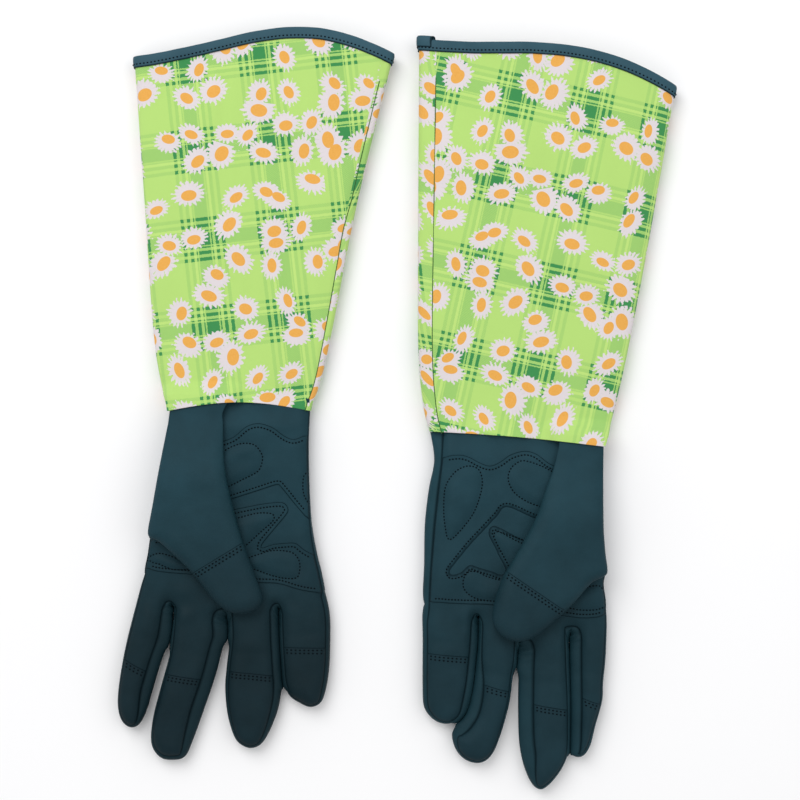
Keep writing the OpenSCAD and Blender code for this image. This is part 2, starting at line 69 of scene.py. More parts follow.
SEAM_Z = 12.2          # height of the seam round the front of the hand
DOME_H = 3.6           # how much higher the leather stands between its seams
WALL_MID_Z = 7.0       # height at which the side walls bulge furthest
BACK_SEAM_Z = 1.6      # height of the seam round the back of the hand
PATCH_T = 0.9          # thickness of the leather patches
PAD_RISE = 1.5         # how far the pads push the patch up
STITCH_PITCH = 2.05    # from one stitch to the next
STITCH_LEN = 1.22
STITCH_R = 0.43
ROW_INSET = 2.5        # distance of a row of stitches from its patch's edge
TIP_ROWS = (1.6, 3.6)  # distances of the two rows from a fingertip patch's edge
TIP_PITCH = 2.5
# A stitch's shape: places along it, as shares of its length, and its thickness there
STITCH_RINGS = [(-0.5, 0.15), (-0.42, 0.75), (-0.2, 1.0), (0.2, 1.0), (0.42, 0.75), (0.5, 0.15)]
UNDER_HEM = 6.0        # how far the leather runs under the cuff's hem
BLEND_HALF = 8.0       # half the length round a finger's bend line; bend_with works out the ends from it but does not use them
SHARP_COSINE = 0.75    # an outline stays sharp where it turns more than this
CUT_PAST_WEB = 3.0     # where a finger's pieces start, past the webs beside it
PUCKER_REACH = 9.0     # how far from a web the side walls are gathered
PUCKER_WAVE = 1.25     # radians of a gather for each millimetre along the seam
PUCKER_HIGH = 1.1      # how far the gathers move the wall up and down
PUCKER_DEEP = 0.65     # how far they draw it in
WEB_PASSES = 60        # rounds of smoothing that make the webs round
# Swells of the front leather: height, length, and how far in from the seam each is full
FRONT_SWELLS = [(0.5, 46, 12), (0.16, 17, 6)]

# Fingertip patches: thickness, a point on each one's edge, and the way the tip points there
TIP_T = 0.6
TIP_LINES = {
    "right": [((-67.6, -163.8), (-0.49, -1)), ((-37.5, -171.6), (-0.15, -1)),
              ((7.2, -168.8), (-0.1, -1)), ((40.3, -152.4), (-0.02, -1))],
    "left": [((-47.1, -166.6), (0.33, -1)), ((-21.7, -170.2), (0.18, -1)),
             ((16.9, -157.8), (0.25, -1)), ((44.5, -137.5), (0.09, -1))]}

# Where the front seam runs nearer the glove's outline than in the solids: the marks round
# the outline between which it does (wrist, tip, web, tip ...), from which height, how much
SEAM_SHIFTS = {
    "right": [(7, 8, -76, 0.86), (0, 1, -112, 0.7), (2, 3, -152, 0.8), (1, 2, -140, 0.15)],
    "left": [(0, 1, -116, 0.7), (5, 6, -152, 0.85)]}
# The left glove's seam on its little finger side: how far up each point is, and across
LITTLE_SEAM = [(-103, 56.8), (-82, 55.7), (-56, 53.6), (-35, 51.4), (-15, 48.9), (6, 47.6)]

# Thumbs: heights over the palm, roundness, how far the wrist end runs under the hem and is
# let out there, and the line where the tip's patch starts
THUMB_LOW = 18.1
THUMB_TOP = 29.8
THUMB_WRIST_TOP = 19.3
THUMB_ROUND = 9.0
THUMB_UNDER = 7.0
THUMB_FLARE = {"right": 5.0, "left": 0.0}
THUMB_LINE = {"right": ((-15, -94.7), (0.51, -0.86)), "left": ((-11.7, -95.5), (0.555, -0.83))}

# The roll of leather that joins each thumb to the hand: where it ends, its section as
# distances from the hand's edge and heights, and the height that it dies away to
FOLD_END = -84.0
FOLD_BASE = 12.0
FOLD_PROFILE = [(-0.1, 8.0), (-0.2, 12.0), (0.2, 14.6), (1.2, 16.6), (3.0, 17.7), (5.5, 17.9),
                (8.5, 17.0), (11.0, 15.4), (12.5, 13.6)]

# Cuffs: edge points from the wrist to the mouth, the mouth's arch, the seam's distance from
# the edge, the hem's fall and arch, and where the print starts
CUFFS = {
    "right": {
        "thumb": [(-46.4, 0.6), (-51.7, 18), (-56.5, 52), (-62, 133), (-68.3, 224.5)],
        "little": [(45, 0.6), (51.5, 18), (59, 52), (75, 133), (98, 226.5)],
        "arch": 17, "seam_in": 4.5, "hem": (-2.5, 5.5),
        "shift": (0.011, 0.004)},
    "left": {
        "thumb": [(-55.4, -3.9), (-61, 14), (-70.5, 55), (-84.5, 128), (-101.5, 226.3)],
        "little": [(56.5, 5.7), (60.5, 22), (63.8, 60), (63.8, 145), (63.2, 256.2)],
        "arch": 13, "seam_in": 10.5, "hem": (-0.3, 1.3),
        "shift": (0.0, 0.013)},
}
GLOVE_AT = {"right": (-101.0, 0.3), "left": (76.8, -20.2)}
CUFF_COLUMNS = 200
CUFF_WRIST_H = 13.0
CUFF_MOUTH_H = 16.0
COTTON_T = 1.0
# The cotton's broad waves: height, length, and how they are squeezed across and along
WRINKLES = [(0.55, 60, (1, 1)), (0.28, 26, (1.6, 0.5))]
HEM_CLEAR = 0.5        # room between the thumb's wrist end and the cotton over it
HEM_SLOPE = 11.0       # length over which that rise in the cotton dies away
BINDING_W = 6.5
BINDING_T = 0.9
# The binding's section, as distances past the mouth and off the cotton
BINDING_PROFILE = [
    (-6.5, 0.1), (-6.65, 0.5), (-6.3, 0.9), (-5.5, 0.85), (-4.8, 0.98), (-2.6, 1.05), (-0.5, 0.98),
    (0.6, 0.6), (1.0, -0.2), (1.0, -1.0), (0.6, -1.6), (-0.5, -1.95), (-2.6, -2.0), (-6.3, -1.9),
    (-6.6, -1.5), (-6.5, -1.1), (0.1, -1.05), (0.1, 0.05)]
# Painted shadow: how dark the binding's first rows are, a dark line under its lower edge
BINDING_LIP_SHADOW = (1.0, 1.0, 0.85)
BINDING_STITCHES = 146
BINDING_STITCH_AT = 2.0
# The lapped end: the turns that it covers, and how far it stands past and off the binding
LAP_TURNS = (-3, 37)
LAP_PAST = 2.3
LAP_SCALE = 1.75

# Painted shade: how far the leather's colour is mixed towards black along the fingers, on each
# glove
FINGER_SHADE = {"right": 0.58, "left": 0.3}

# The print: its plaid's repeats, and layers of daisies (spacing, shift, share kept)
PLAID = (49.0, 57.0)
DAISY_LAYERS = [(22.5, (0.3, 0.1), 0.93), (41.0, (4.2, 7.7), 0.5)]

# In metres and watts: where the camera is, and each light's place, width and power
CAMERA_AT = (0.0013, 0.0054, 1.224)
LENS = 85
LIGHTS = {"key": ((-0.7, 1.1, 1.8), 1.7, 26), "fill": ((1.2, 0.3, 1.8), 2.0, 8)}
STUDIO_STRENGTH = 0.62


# ---- Flat geometry ----

def smooth(t):
    t = np.clip(t, 0, 1)
    return t * t * (3 - 2 * t)


def bell(distance, width):
    """1 at a distance of 0, and next to nothing well past the width."""
    return np.exp(-(distance / width) ** 2)


def unit(v):
    return v / np.linalg.norm(v, axis=-1, keepdims=True)


def signed_root(t):
    return np.sign(t) * np.sqrt(np.abs(t))


def left_of(ways):
    """The ways turned a quarter turn to the left."""
    return np.stack([-ways[..., 1], ways[..., 0]], -1)


def waves(points, length, seed, count=9):
    """A smooth, repeatable field of about -1 to 1, with the given wavelength."""
    rng = np.random.default_rng(seed)
    total = np.zeros(len(points))
    for _ in range(count):
        angle = rng.uniform(0, 2 * math.pi)
        k = 2 * math.pi / (length * rng.uniform(0.7, 1.5))
        phase = rng.uniform(0, 2 * math.pi)
        along = points[:, 0] * math.cos(angle) + points[:, 1] * math.sin(angle)
        total += np.sin(k * along + phase)
    return total / math.sqrt(count)


def distance_to(points, line, closed=True):
    """Distance of each point from a line of straight pieces."""
    a = line if closed else line[:-1]
    b = np.roll(line, -1, 0) if closed else line[1:]
    d = b - a
    dd = np.maximum((d * d).sum(1), 1e-12)
    out = np.empty(len(points))
    for i in range(0, len(points), 1500):
        p = points[i:i + 1500, None, :]
        t = np.clip(((p - a) * d).sum(2) / dd, 0, 1)
        out[i:i + 1500] = np.sqrt((((a + t[..., None] * d) - p) ** 2).sum(2).min(1))
    return out


def inside(points, loops):
    """True where a point is inside the loops, counting a loop in a loop as a hole."""
    odd = np.zeros(len(points), bool)
    for loop in loops:
        a, b = loop, np.roll(loop, -1, 0)
        for i in range(0, len(points), 2000):
            p = points[i:i + 2000, None, :]
            over = (a[:, 1] > p[..., 1]) != (b[:, 1] > p[..., 1])
            rise = np.where(b[:, 1] == a[:, 1], 1e-12, b[:, 1] - a[:, 1])
            x = a[:, 0] + (p[..., 1] - a[:, 1]) * (b[:, 0] - a[:, 0]) / rise
            odd[i:i + 2000] ^= (over & (p[..., 0] < x)).sum(1) % 2 == 1
    return odd


def area(loop):
    nxt = np.roll(loop, -1, 0)
    return 0.5 * float((loop[:, 0] * nxt[:, 1] - loop[:, 1] * nxt[:, 0]).sum())


def lengths(line):
    return np.concatenate([[0], np.cumsum(np.linalg.norm(np.diff(line, axis=0), axis=1))])


def resample(line, count):
    """count points evenly along an open line, its ends among them."""
    s = lengths(line)
    at = np.linspace(0, s[-1], count)
    return np.stack([np.interp(at, s, line[:, k]) for k in range(line.shape[1])], 1)


def bend_cosine(line, i):
    """The cosine of the angle that a line turns through at a point: 1 where it is straight."""
    u, v = line[i] - line[i - 1], line[(i + 1) % len(line)] - line[i]
    return (u @ v) / max(np.linalg.norm(u) * np.linalg.norm(v), 1e-9)


def soften(line, per_piece=6):
    """A smooth curve through an open line's points, sharp where the line turns sharply."""
    last = len(line) - 1
    turns = [0] + [i for i in range(1, last) if bend_cosine(line, i) < SHARP_COSINE] + [last]
    out = []
    for a, b in zip(turns, turns[1:]):
        run = line[a:b + 1]
        for i in range(len(run) - 1):
            p0, p1 = run[max(i - 1, 0)], run[i]
            p2, p3 = run[i + 1], run[min(i + 2, len(run) - 1)]
            for t in np.arange(per_piece) / per_piece:
                out.append(0.5 * (2 * p1 + (p2 - p0) * t
                                  + (2 * p0 - 5 * p1 + 4 * p2 - p3) * t * t
                                  + (3 * p1 - p0 - 3 * p2 + p3) * t ** 3))
    out.append(line[-1])
    return np.array(out)


def soften_ring(loop, spacing):
    """A smooth closed curve through a loop's points, at about the given spacing."""
    bends = [bend_cosine(loop, i) for i in range(len(loop))]
    turned = np.roll(loop, -int(np.argmin(bends)), 0)
    curve = soften(np.vstack([turned, turned[:1]]))
    count = max(12, int(lengths(curve)[-1] / spacing))
    return resample(curve, count + 1)[:-1]


def only_used(faces, count):
    """The points that faces use, out of count, and the faces by their new numbers."""
    used = np.unique(faces)
    index = np.full(count, -1)
    index[used] = np.arange(len(used))
    return used, index[faces]


def fill(loops, spacing, keep, extra):
    """Triangles that fill closed loops, through extra points and those of a grid that keep
    says to use."""
    points, edges = [], []
    for loop in loops:
        start = len(points)
        points += [tuple(p) for p in loop]
        edges += [(start + i, start + (i + 1) % len(loop)) for i in range(len(loop))]
    everything = np.array(points)
    points += [tuple(p) for p in extra]
    low, high = everything.min(0), everything.max(0)
    rows = []
    y, odd = low[1], 0
    while y < high[1]:
        xs = np.arange(low[0] + odd * spacing / 2, high[0], spacing)
        rows.append(np.stack([xs, np.full(len(xs), y)], 1))
        y += spacing * 0.866
        odd = 1 - odd
    grid = np.vstack(rows)
    grid = grid[inside(grid, loops)]
    grid = grid[keep(grid)]
    points += [tuple(p) for p in grid]
    out = delaunay_2d_cdt([Vector(p) for p in points], edges, [], 0, 1e-6)
    verts = np.array([tuple(v) for v in out[0]])
    faces = np.array(out[2])
    middle = verts[faces].mean(1)
    faces = faces[inside(middle, loops)]
    used, faces = only_used(faces, len(verts))
    verts = verts[used]
    a, b, c = verts[faces[:, 0]], verts[faces[:, 1]], verts[faces[:, 2]]
    cross = (b[:, 0] - a[:, 0]) * (c[:, 1] - a[:, 1]) - (b[:, 1] - a[:, 1]) * (c[:, 0] - a[:, 0])
    faces[cross < 0] = faces[cross < 0][:, ::-1]
    return verts, faces


def ring_side(loop):
    """The way to the left of a closed loop at each of its points."""
    return left_of(unit(np.roll(loop, -1, 0) - np.roll(loop, 1, 0)))


def line_side(line):
    """The way to the left of an open line at each of its points."""
    return left_of(unit(np.gradient(line, axis=0)))


def offset_points(loop, distance):
    """Points inside a closed loop that runs anticlockwise, at a distance from it."""
    moved = loop + distance * ring_side(loop)
    return moved[distance_to(moved, loop) > 0.93 * distance]


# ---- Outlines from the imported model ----

def flat_loops(nodes, top=True):
    """The closed outlines of the level tops, or undersides, of CAD nodes, in row metres."""
    corners, triangles = [], []
    for node in nodes:
        mesh = frame["nodes"][node].data
        mesh.calc_loop_triangles()
        co = np.array([v.co for v in mesh.vertices])
        level = co[:, 2].max() if top else co[:, 2].min()
        for tri in mesh.loop_triangles:
            three = co[list(tri.vertices)]
            if np.abs(three[:, 2] - level).max() < 1e-5:
                triangles.append(range(len(corners), len(corners) + 3))
                corners += [p[:2] for p in three]
    tree = KDTree(len(corners))
    for i, p in enumerate(corners):
        tree.insert((p[0], p[1], 0), i)
    tree.balance()
    same = [min(hit[1] for hit in tree.find_range((p[0], p[1], 0), 4e-6)) for p in corners]
    after = {}
    for tri in triangles:
        a, b, c = (same[i] for i in tri)
        for edge in ((a, b), (b, c), (c, a)):
            if (edge[1], edge[0]) in after:
                del after[(edge[1], edge[0])]
            else:
                after[edge] = True
    follow = {}
    for a, b in after:
        follow.setdefault(a, []).append(b)
    loops = []
    while follow:
        first = next(iter(follow))
        loop, here = [], first
        while here in follow:
            loop.append(here)
            nxt = follow[here].pop()
            if not follow[here]:
                del follow[here]
            here = nxt
            if here == first:
                break
        if len(loop) > 2:
            loops.append(np.array([corners[i] for i in loop]))
    return loops


class Glove:
    """One glove's frame, outlines and bending lines."""

    def __init__(self, side, seed):
        self.side = side
        self.seed = seed
        self.flip = 1 if side == "right" else -1
        self.origin = np.array(GLOVE_AT[side]) * MM
        self.bends = []
        for finger in FINGERS:
            joint = JOINTS[f"{side}_{finger}_curl"]
            axis = joint["axis"]
            way = np.array([-axis[1] * self.flip, axis[0]])
            self.bends.append((self.flat([joint["pos_m"]])[0], unit(way)))
        self.front = self.whole_outline(["palm_panel"], ["front_panel"], True)
        self.edge = self.whole_outline(["palm_panel", "fourchettes"],
                                       ["front_panel", "side_wall"], True)
        self.back = self.whole_outline(["back_panel"], ["back_panel"], False)
        self.match_outlines()
        self.up = left_of(unit(self.edge[-1] - self.edge[0]))
        self.front_ring = np.vstack([self.front, self.front[-1] + 9 * self.up,
                                     self.front[0] + 9 * self.up])
        self.patch = [self.out_to_seam(soften_ring(p, 1.2)) for p in self.loops(["palm_patch"])]
        pads = ["ulnar_heel_pad", "thumb_heel_pad", "palm_pads"]
        self.pads = [self.out_to_seam(soften_ring(p, 1.0))
                     for pad in pads for p in self.loops([pad])]
        self.thumb = soften_ring(self.under_hem(self.loops(["thumb_inner_panel"])[0]), 1.2)
        self.pucker = bell(self.from_webs(self.edge, self.edge), PUCKER_REACH)

    def from_webs(self, points, line):
        """How far points are from the nearest web of an outline."""
        return np.min([np.linalg.norm(points - line[w], axis=1) for w in self.webs], 0)

    def rounded_webs(self, line):
        """The outline with the square ends of its webs drawn round."""
        weight = (1 - smooth((self.from_webs(line, line) - 7) / 5))[:, None]
        for _ in range(WEB_PASSES):
            even = line.copy()
            even[1:-1] = (line[:-2] + line[2:]) / 2
            line = line + 0.6 * weight * (even - line)
        return line

    def shift_seam(self, marks):
        """Moves the front seam out where the side wall hardly shows from above."""
        share = np.zeros(len(self.edge))
        for a, b, low, amount in SEAM_SHIFTS[self.side]:
            on = self.edge[marks[a]:marks[b] + 1, 1] > low
            share[marks[a]:marks[b] + 1] = np.maximum(share[marks[a]:marks[b] + 1], on * amount)
        for _ in range(90):
            share[1:-1] = (share[:-2] + share[2:]) / 2
        self.solid_front = self.front
        self.front = self.front + share[:, None] * (self.edge - self.front)
        if self.side == "left":
            part = self.front[marks[7]:]
            height, across = np.array(LITTLE_SEAM).T
            gap = np.interp(part[:, 1], height, across) - part[:, 0]
            part[:, 0] += smooth((part[:, 1] + 120) / 14) * gap

    def out_to_seam(self, loop):
        """Carries the edges of a patch that follow the solids' seam out to the shifted one."""
        gap = np.linalg.norm(loop[:, None] - self.solid_front[None], axis=2)
        near = gap.argmin(1)
        close = 1 - smooth((gap.min(1) - 0.9) / 0.8)
        return loop + close[:, None] * (self.front - self.solid_front)[near]

    def under_hem(self, ring):
        """The thumb's outline with its straight wrist end let out to run under the hem."""
        past = self.above_wrist(ring)
        size = np.linalg.norm(np.roll(ring, -1, 0) - ring, axis=1)
        high = (past > -14) & (np.roll(past, -1) > -14)
        turned = np.roll(ring, -int(np.argmax(size * high)) - 1, 0)
        ends = [turned[k] + (THUMB_UNDER - self.above_wrist(turned[k])) * self.up for k in (-1, 0)]
        ends[0] = ends[0] + [THUMB_FLARE[self.side], 0]
        return np.vstack([turned, ends])

    def room_between_fingers(self):
        """How far each side wall may swell until it meets its neighbour's, where the two
        run close together."""
        room = np.zeros(len(self.edge))
        for w, a, b in zip(self.webs, self.tips, self.tips[1:]):
            first, second = self.edge[a:w - 3], self.edge[w + 3:b]
            gaps = np.linalg.norm(first[:, None] - second[None], axis=2)
            for start, gap in ((a, gaps.min(1)), (w + 3, gaps.min(0))):
                close = 1 - smooth((gap - 2.6) / 1.2)
                room[start:start + len(gap)] = np.minimum(gap / 2 + 0.05, 1.4) * close
        return room

    def above_wrist(self, points):
        """How far points lie past the wrist seam, towards the cuff."""
        return (np.asarray(points) - self.edge[-1]) @ self.up

    def flat(self, points):
        """Row metres to the glove's own millimetres."""
        moved = (np.asarray(points)[:, :2] - self.origin) / MM
        return moved * np.array([self.flip, 1])

    def row(self, points):
        """The glove's own millimetres, with heights, to row metres."""
        out = np.array(points, float) * MM
        out[:, 0] = out[:, 0] * self.flip + self.origin[0]
        out[:, 1] += self.origin[1]
        return out

    def loops(self, nodes, top=True):
        """The outlines of some of this glove's nodes, anticlockwise, the largest first."""
        found = [self.flat(p) for p in flat_loops([f"{self.side}_{n}" for n in nodes], top)]
        found.sort(key=lambda p: -abs(area(p)))
        return [p if area(p) > 0 else p[::-1] for p in found]

    def whole_outline(self, hand_nodes, finger_nodes, top):
        """The hand's outline with each finger's outline joined on at its bend, as an open
        line from the wrist's thumb side round the fingers to its little finger side."""
        hand = self.loops(hand_nodes, top)[0]
        for finger, (point, way) in zip(FINGERS, self.bends):
            tip = self.loops([f"{finger}_{n}" for n in finger_nodes], top)[0]
            tip = self.turned_to_line(tip, point, way, 0.25, 0.55)
            hand = self.turned_to_line(hand, point, way, -0.1, 0.15)
            hand = np.vstack([hand, tip])
        size = np.linalg.norm(np.roll(hand, -1, 0) - hand, axis=1)
        level = np.minimum(hand[:, 1], np.roll(hand, -1, 0)[:, 1]) > -20
        hand = np.roll(hand, -int(np.argmax(size * level)) - 1, 0)
        first = int(np.argmin(np.where(np.abs(hand[:, 1] - hand[0, 1]) < 3, hand[:, 0], 1e9)))
        last = int(np.argmax(np.where(np.abs(hand[:, 1] - hand[-1, 1]) < 3, hand[:, 0], -1e9)))
        return hand[first:last + 1]

    @staticmethod
    def turned_to_line(loop, point, way, low, high):
        """The loop without its straight stretch across a finger, from where that ends to
        where it starts."""
        along = (loop - point) @ way
        side = np.abs((loop - point) @ left_of(way))
        on = (along > low) & (along < high) & (side < 30)
        size = np.linalg.norm(np.roll(loop, -1, 0) - loop, axis=1)
        first = int(np.argmax(np.where(on & np.roll(on, -1), size, 0)))
        count = len(loop)
        last = (first + 1) % count
        while on[(first - 1) % count]:
            first = (first - 1) % count
        while on[(last + 1) % count]:
            last = (last + 1) % count
        turned = np.roll(loop, -last, 0)
        return turned[:(first - last) % count + 1]

    def match_outlines(self):
        """Resamples the three outlines so that their points match one to one."""
        lines = [self.front, self.edge, self.back]
        marks = []
        for line in lines:
            tips = []
            for point, way in self.bends:
                along = (line - point) @ way
                across = (line - point) @ left_of(way)
                out = (along[:-1] <= 0) & (along[1:] > 0) & (across[:-1] < 0)
                home = (along[:-1] > 0) & (along[1:] <= 0) & (across[:-1] > 0)
                i = int(np.argmin(np.where(out, -across[:-1], 1e9)))
                j = int(np.argmin(np.where(home, across[:-1], 1e9)))
                tips.append(i + int(np.argmax(along[i:j + 1])))
            webs = [a + int(np.argmax(line[a:b, 1])) for a, b in zip(tips, tips[1:])]
            marks.append([0, tips[0], webs[0], tips[1], webs[1], tips[2], webs[2], tips[3],
                          len(line) - 1])
        counts = []
        for a, b in zip(marks[1], marks[1][1:]):
            counts.append(max(8, int(lengths(self.edge[a:b + 1])[-1] / 1.25)))
        matched = []
        for line, mark in zip(lines, marks):
            parts = []
            for (a, b), count in zip(zip(mark, mark[1:]), counts):
                parts.append(resample(soften(line[a:b + 1]), count + 1)[:-1])
            parts.append(line[-1:])
            matched.append(np.vstack(parts))
        ends = np.concatenate([[0], np.cumsum(counts)])
        self.tips, self.webs = ends[[1, 3, 5, 7]], ends[[2, 4, 6]]
        self.front, self.edge, self.back = (self.rounded_webs(line) for line in matched)
        self.shift_seam(ends)
        self.meet = self.room_between_fingers()
        self.cuts = []
        for f, (point, way) in enumerate(self.bends):
            beside = [self.edge[w] for w in self.webs[max(f - 1, 0):f + 1]]
            reach = min((point - q) @ way for q in beside) - CUT_PAST_WEB
            along = (self.edge - point) @ way
            first = 0 if f == 0 else self.webs[f - 1]
            last = len(self.edge) - 1 if f == 3 else self.webs[f]
            a = next(i for i in range(first, self.tips[f]) if along[i] > -reach)
            b = next(i for i in range(last, self.tips[f], -1) if along[i] > -reach)
            self.cuts.append((a, b))


# ---- Pieces ----

def add_object(name, data):
    obj = bpy.data.objects.new(name, data)
    bpy.context.scene.collection.objects.link(obj)
    return obj


def add_mesh(name, verts, faces, material, normals=None, rim=None):
    """A smooth mesh; rim says how much painted shade darkens the leather at each point, as along a
    seam.
    """
    mesh = bpy.data.meshes.new(name)
    mesh.from_pydata([tuple(v) for v in verts], [], [tuple(int(i) for i in f) for f in faces])
    mesh.polygons.foreach_set("use_smooth", [True] * len(mesh.polygons))
    if rim is not None:
        layer = mesh.attributes.new("rim", "FLOAT", "POINT")
        layer.data.foreach_set("value", np.asarray(rim, np.float32))
    mesh.update()
    if normals is not None:
        mesh.normals_split_custom_set_from_vertices([tuple(n) for n in normals])
    obj = add_object(name, mesh)
    mesh.materials.append(material)
    return obj


def mesh_normals(verts, faces):
    """Smooth normals of a mesh's points."""
    faces = np.asarray(faces)
    normals = np.zeros((len(verts), 3))
    corners = verts[faces]
    if faces.shape[1] == 4:
        across, along = corners[:, 2] - corners[:, 0], corners[:, 3] - corners[:, 1]
    else:
        across, along = corners[:, 1] - corners[:, 0], corners[:, 2] - corners[:, 0]
    face_normals = np.cross(across, along)
    for k in range(faces.shape[1]):
        np.add.at(normals, faces[:, k], face_normals)
    return normals / np.maximum(np.linalg.norm(normals, axis=1), 1e-12)[:, None]


def finish_piece(glove, obj, body, replaced=()):
    """Rides a piece on the hand or cuff, or for a finger's piece bakes its place into its points,
    and hides the CAD parts that it replaces.
    """
    side = glove.side
    if body in FINGERS:
        bend_with(glove, obj, body)
    else:
        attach(obj, f"{side}_{body}")
    if replaced:
        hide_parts(*[f"{side}_{n}" for n in replaced])
    return obj


def bend_with(glove, obj, finger):
    point, way = glove.bends[FINGERS.index(finger)]
    ends = [np.append(point + k * BLEND_HALF * way, 15.0) for k in (-1, 1)]
    start, end = glove.row(np.array(ends))
    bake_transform(obj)


def stitch_mesh(places, ways, length=STITCH_LEN, radius=STITCH_R, sides=6):
    """Short rounded threads at places (x, y, z), each along its own way, in millimetres."""
    verts, faces = [], []
    up = np.array([0, 0, 1.0])
    for place, way in zip(places, ways):
        way = unit(way)
        across = unit(np.cross(up, way))
        high = np.cross(way, across)
        start = len(verts)
        for at, size in STITCH_RINGS:
            arch = (0.25 - at * at) * radius * 1.2
            for k in range(sides):
                turn = 2 * math.pi * k / sides
                verts.append(place + way * at * length + high * arch
                             + radius * size * (across * math.cos(turn) + high * math.sin(turn)))
        for r in range(len(STITCH_RINGS) - 1):
            for k in range(sides):
                a, b = start + r * sides + k, start + r * sides + (k + 1) % sides
                faces.append((a, b, b + sides, a + sides))
        last = start + (len(STITCH_RINGS) - 1) * sides
        faces.append(tuple(start + k for k in reversed(range(sides))))
        faces.append(tuple(last + k for k in range(sides)))
    return verts, faces


def stitch_places(line, closed=False, pitch=STITCH_PITCH):
    """Even places along a line and the ways it runs there."""
    whole = np.vstack([line, line[:1]]) if closed else line
    total = lengths(whole)[-1]
    count = max(2, int(total / pitch))
    fine = resample(whole, count * 2 + 1)
    return fine[1::2], fine[2::2] - fine[:-1:2]


def sewn_on(spots, ways, height, lift):
    """Stitches' places and ways with heights, so that they lie on a surface."""
    rise = height(spots + 0.4 * ways) - height(spots - 0.4 * ways)
    return (np.column_stack([spots, height(spots) + lift]),
            np.column_stack([0.8 * ways, rise]))


# ---- Leather of the hand and fingers ----

def fill_points(loops, spacing, clear, rows):
    """Triangles over closed loops, with rows of points at set distances from their edges."""
    extra = [offset_points(loop, d) for loop in loops for d in rows]
    whole = np.vstack(extra) if extra else np.zeros((0, 2))
    whole = whole[inside(whole, loops)]

    def keep(grid):
        good = np.ones(len(grid), bool)
        for loop in loops:
            good &= distance_to(grid, loop) > clear
        return good

    return fill(loops, spacing, keep, whole)


def front_height(glove, p):
    """Height of the front leather above the table at points p."""
    d = distance_to(p, glove.front, closed=False)
    z = SEAM_Z + DOME_H * (1 - np.exp(-d / 2.6))
    for n, (high, length, fade) in enumerate(FRONT_SWELLS):
        z += high * waves(p, length, glove.seed + n) * smooth(d / fade)
    beside = bell(glove.from_webs(p, glove.edge) - 7, 8)
    z += 0.45 * waves(p * [1.0, 0.6], 11, glove.seed + 2) * beside * smooth(d / 5)
    for point, way in glove.bends:
        along = (p - point) @ way
        across = np.abs((p - point) @ left_of(way))
        z -= 0.35 * bell(along, 3.0) * (1 - smooth((across - 10) / 10))
    return z - 1.9 * smooth((glove.above_wrist(p) + 13) / 12)


def back_height(glove, p):
    d = distance_to(p, glove.back, closed=False)
    z = BACK_SEAM_Z - 1.3 * (1 - np.exp(-d / 2.2))
    return z + 0.5 * smooth((glove.above_wrist(p) + 13) / 12)


def closed_outline(glove, line):
    """An outline with a straight edge that runs a little way under the cuff's hem."""
    up = glove.up * UNDER_HEM
    ends = np.array([line[-1] + up, line[0] + up])
    side = np.array([line[-1] + up * k for k in (0.33, 0.66)])
    back = np.array([line[0] + up * k for k in (0.66, 0.33)])
    return np.vstack([line, side, resample(ends, 60), back])


def placed(glove, verts, faces):
    """The glove's own points and faces in the row frame, in metres."""
    faces = [tuple(f) for f in faces]
    if glove.flip < 0:
        faces = [f[::-1] for f in faces]
    return glove.row(verts), faces


def leather_skin(glove, name, solid, faces, kind, body, node, rim=None):
    """A skin of leather that stands for one CAD node, shaded as a smooth surface."""
    v, f = placed(glove, solid, faces)
    obj = add_mesh(f"{glove.side}_{name}", v, f, MATERIALS[kind], mesh_normals(v, f), rim)
    finish_piece(glove, obj, body, [node])


def finger_regions(glove, line):
    return [line[a:b + 1] for a, b in glove.cuts]


def split_by_finger(glove, name, verts, faces, owner, rim, material, node_names):
    """One piece for the hand and one for each finger, shaded as one surface."""
    verts, faces = placed(glove, verts, faces)
    faces = np.array(faces)
    normals = mesh_normals(verts, faces)
    for k, body in enumerate(["hand"] + FINGERS):
        chosen = owner == k
        if not chosen.any():
            continue
        used, own = only_used(faces[chosen], len(verts))
        obj = add_mesh(f"{glove.side}_{body}_{name}", verts[used], own, material,
                       normals[used], rim[used])
        finish_piece(glove, obj, body, node_names[k])


def face_owner(middles, regions):
    owner = np.zeros(len(middles), int)
    for k, region in enumerate(regions):
        owner[inside(middles, [region])] = k + 1
    return owner


def make_fronts_and_backs(glove):
    for line, height, name, nodes in (
            (glove.front, front_height, "front", ("palm_panel", "front_panel")),
            (glove.back, back_height, "back", ("back_panel", "back_panel"))):
        loop = closed_outline(glove, line)
        verts, faces = fill_points([loop], 1.8, 1.6, (0.35, 0.9))
        owner = face_owner(verts[faces].mean(1), finger_regions(glove, line))
        solid = np.column_stack([verts, height(glove, verts)])
        if name == "back":
            faces = faces[:, ::-1]
        names = [(nodes[0],)] + [(f"{f}_{nodes[1]}",) for f in FINGERS]
        # Painted shade along the seams round the fronts and backs, carried by the rim attribute
        rim = bell(distance_to(verts, line, closed=False), 0.45)
        split_by_finger(glove, name, solid, faces, owner, rim, MATERIALS["teal_leather"],
                        names)


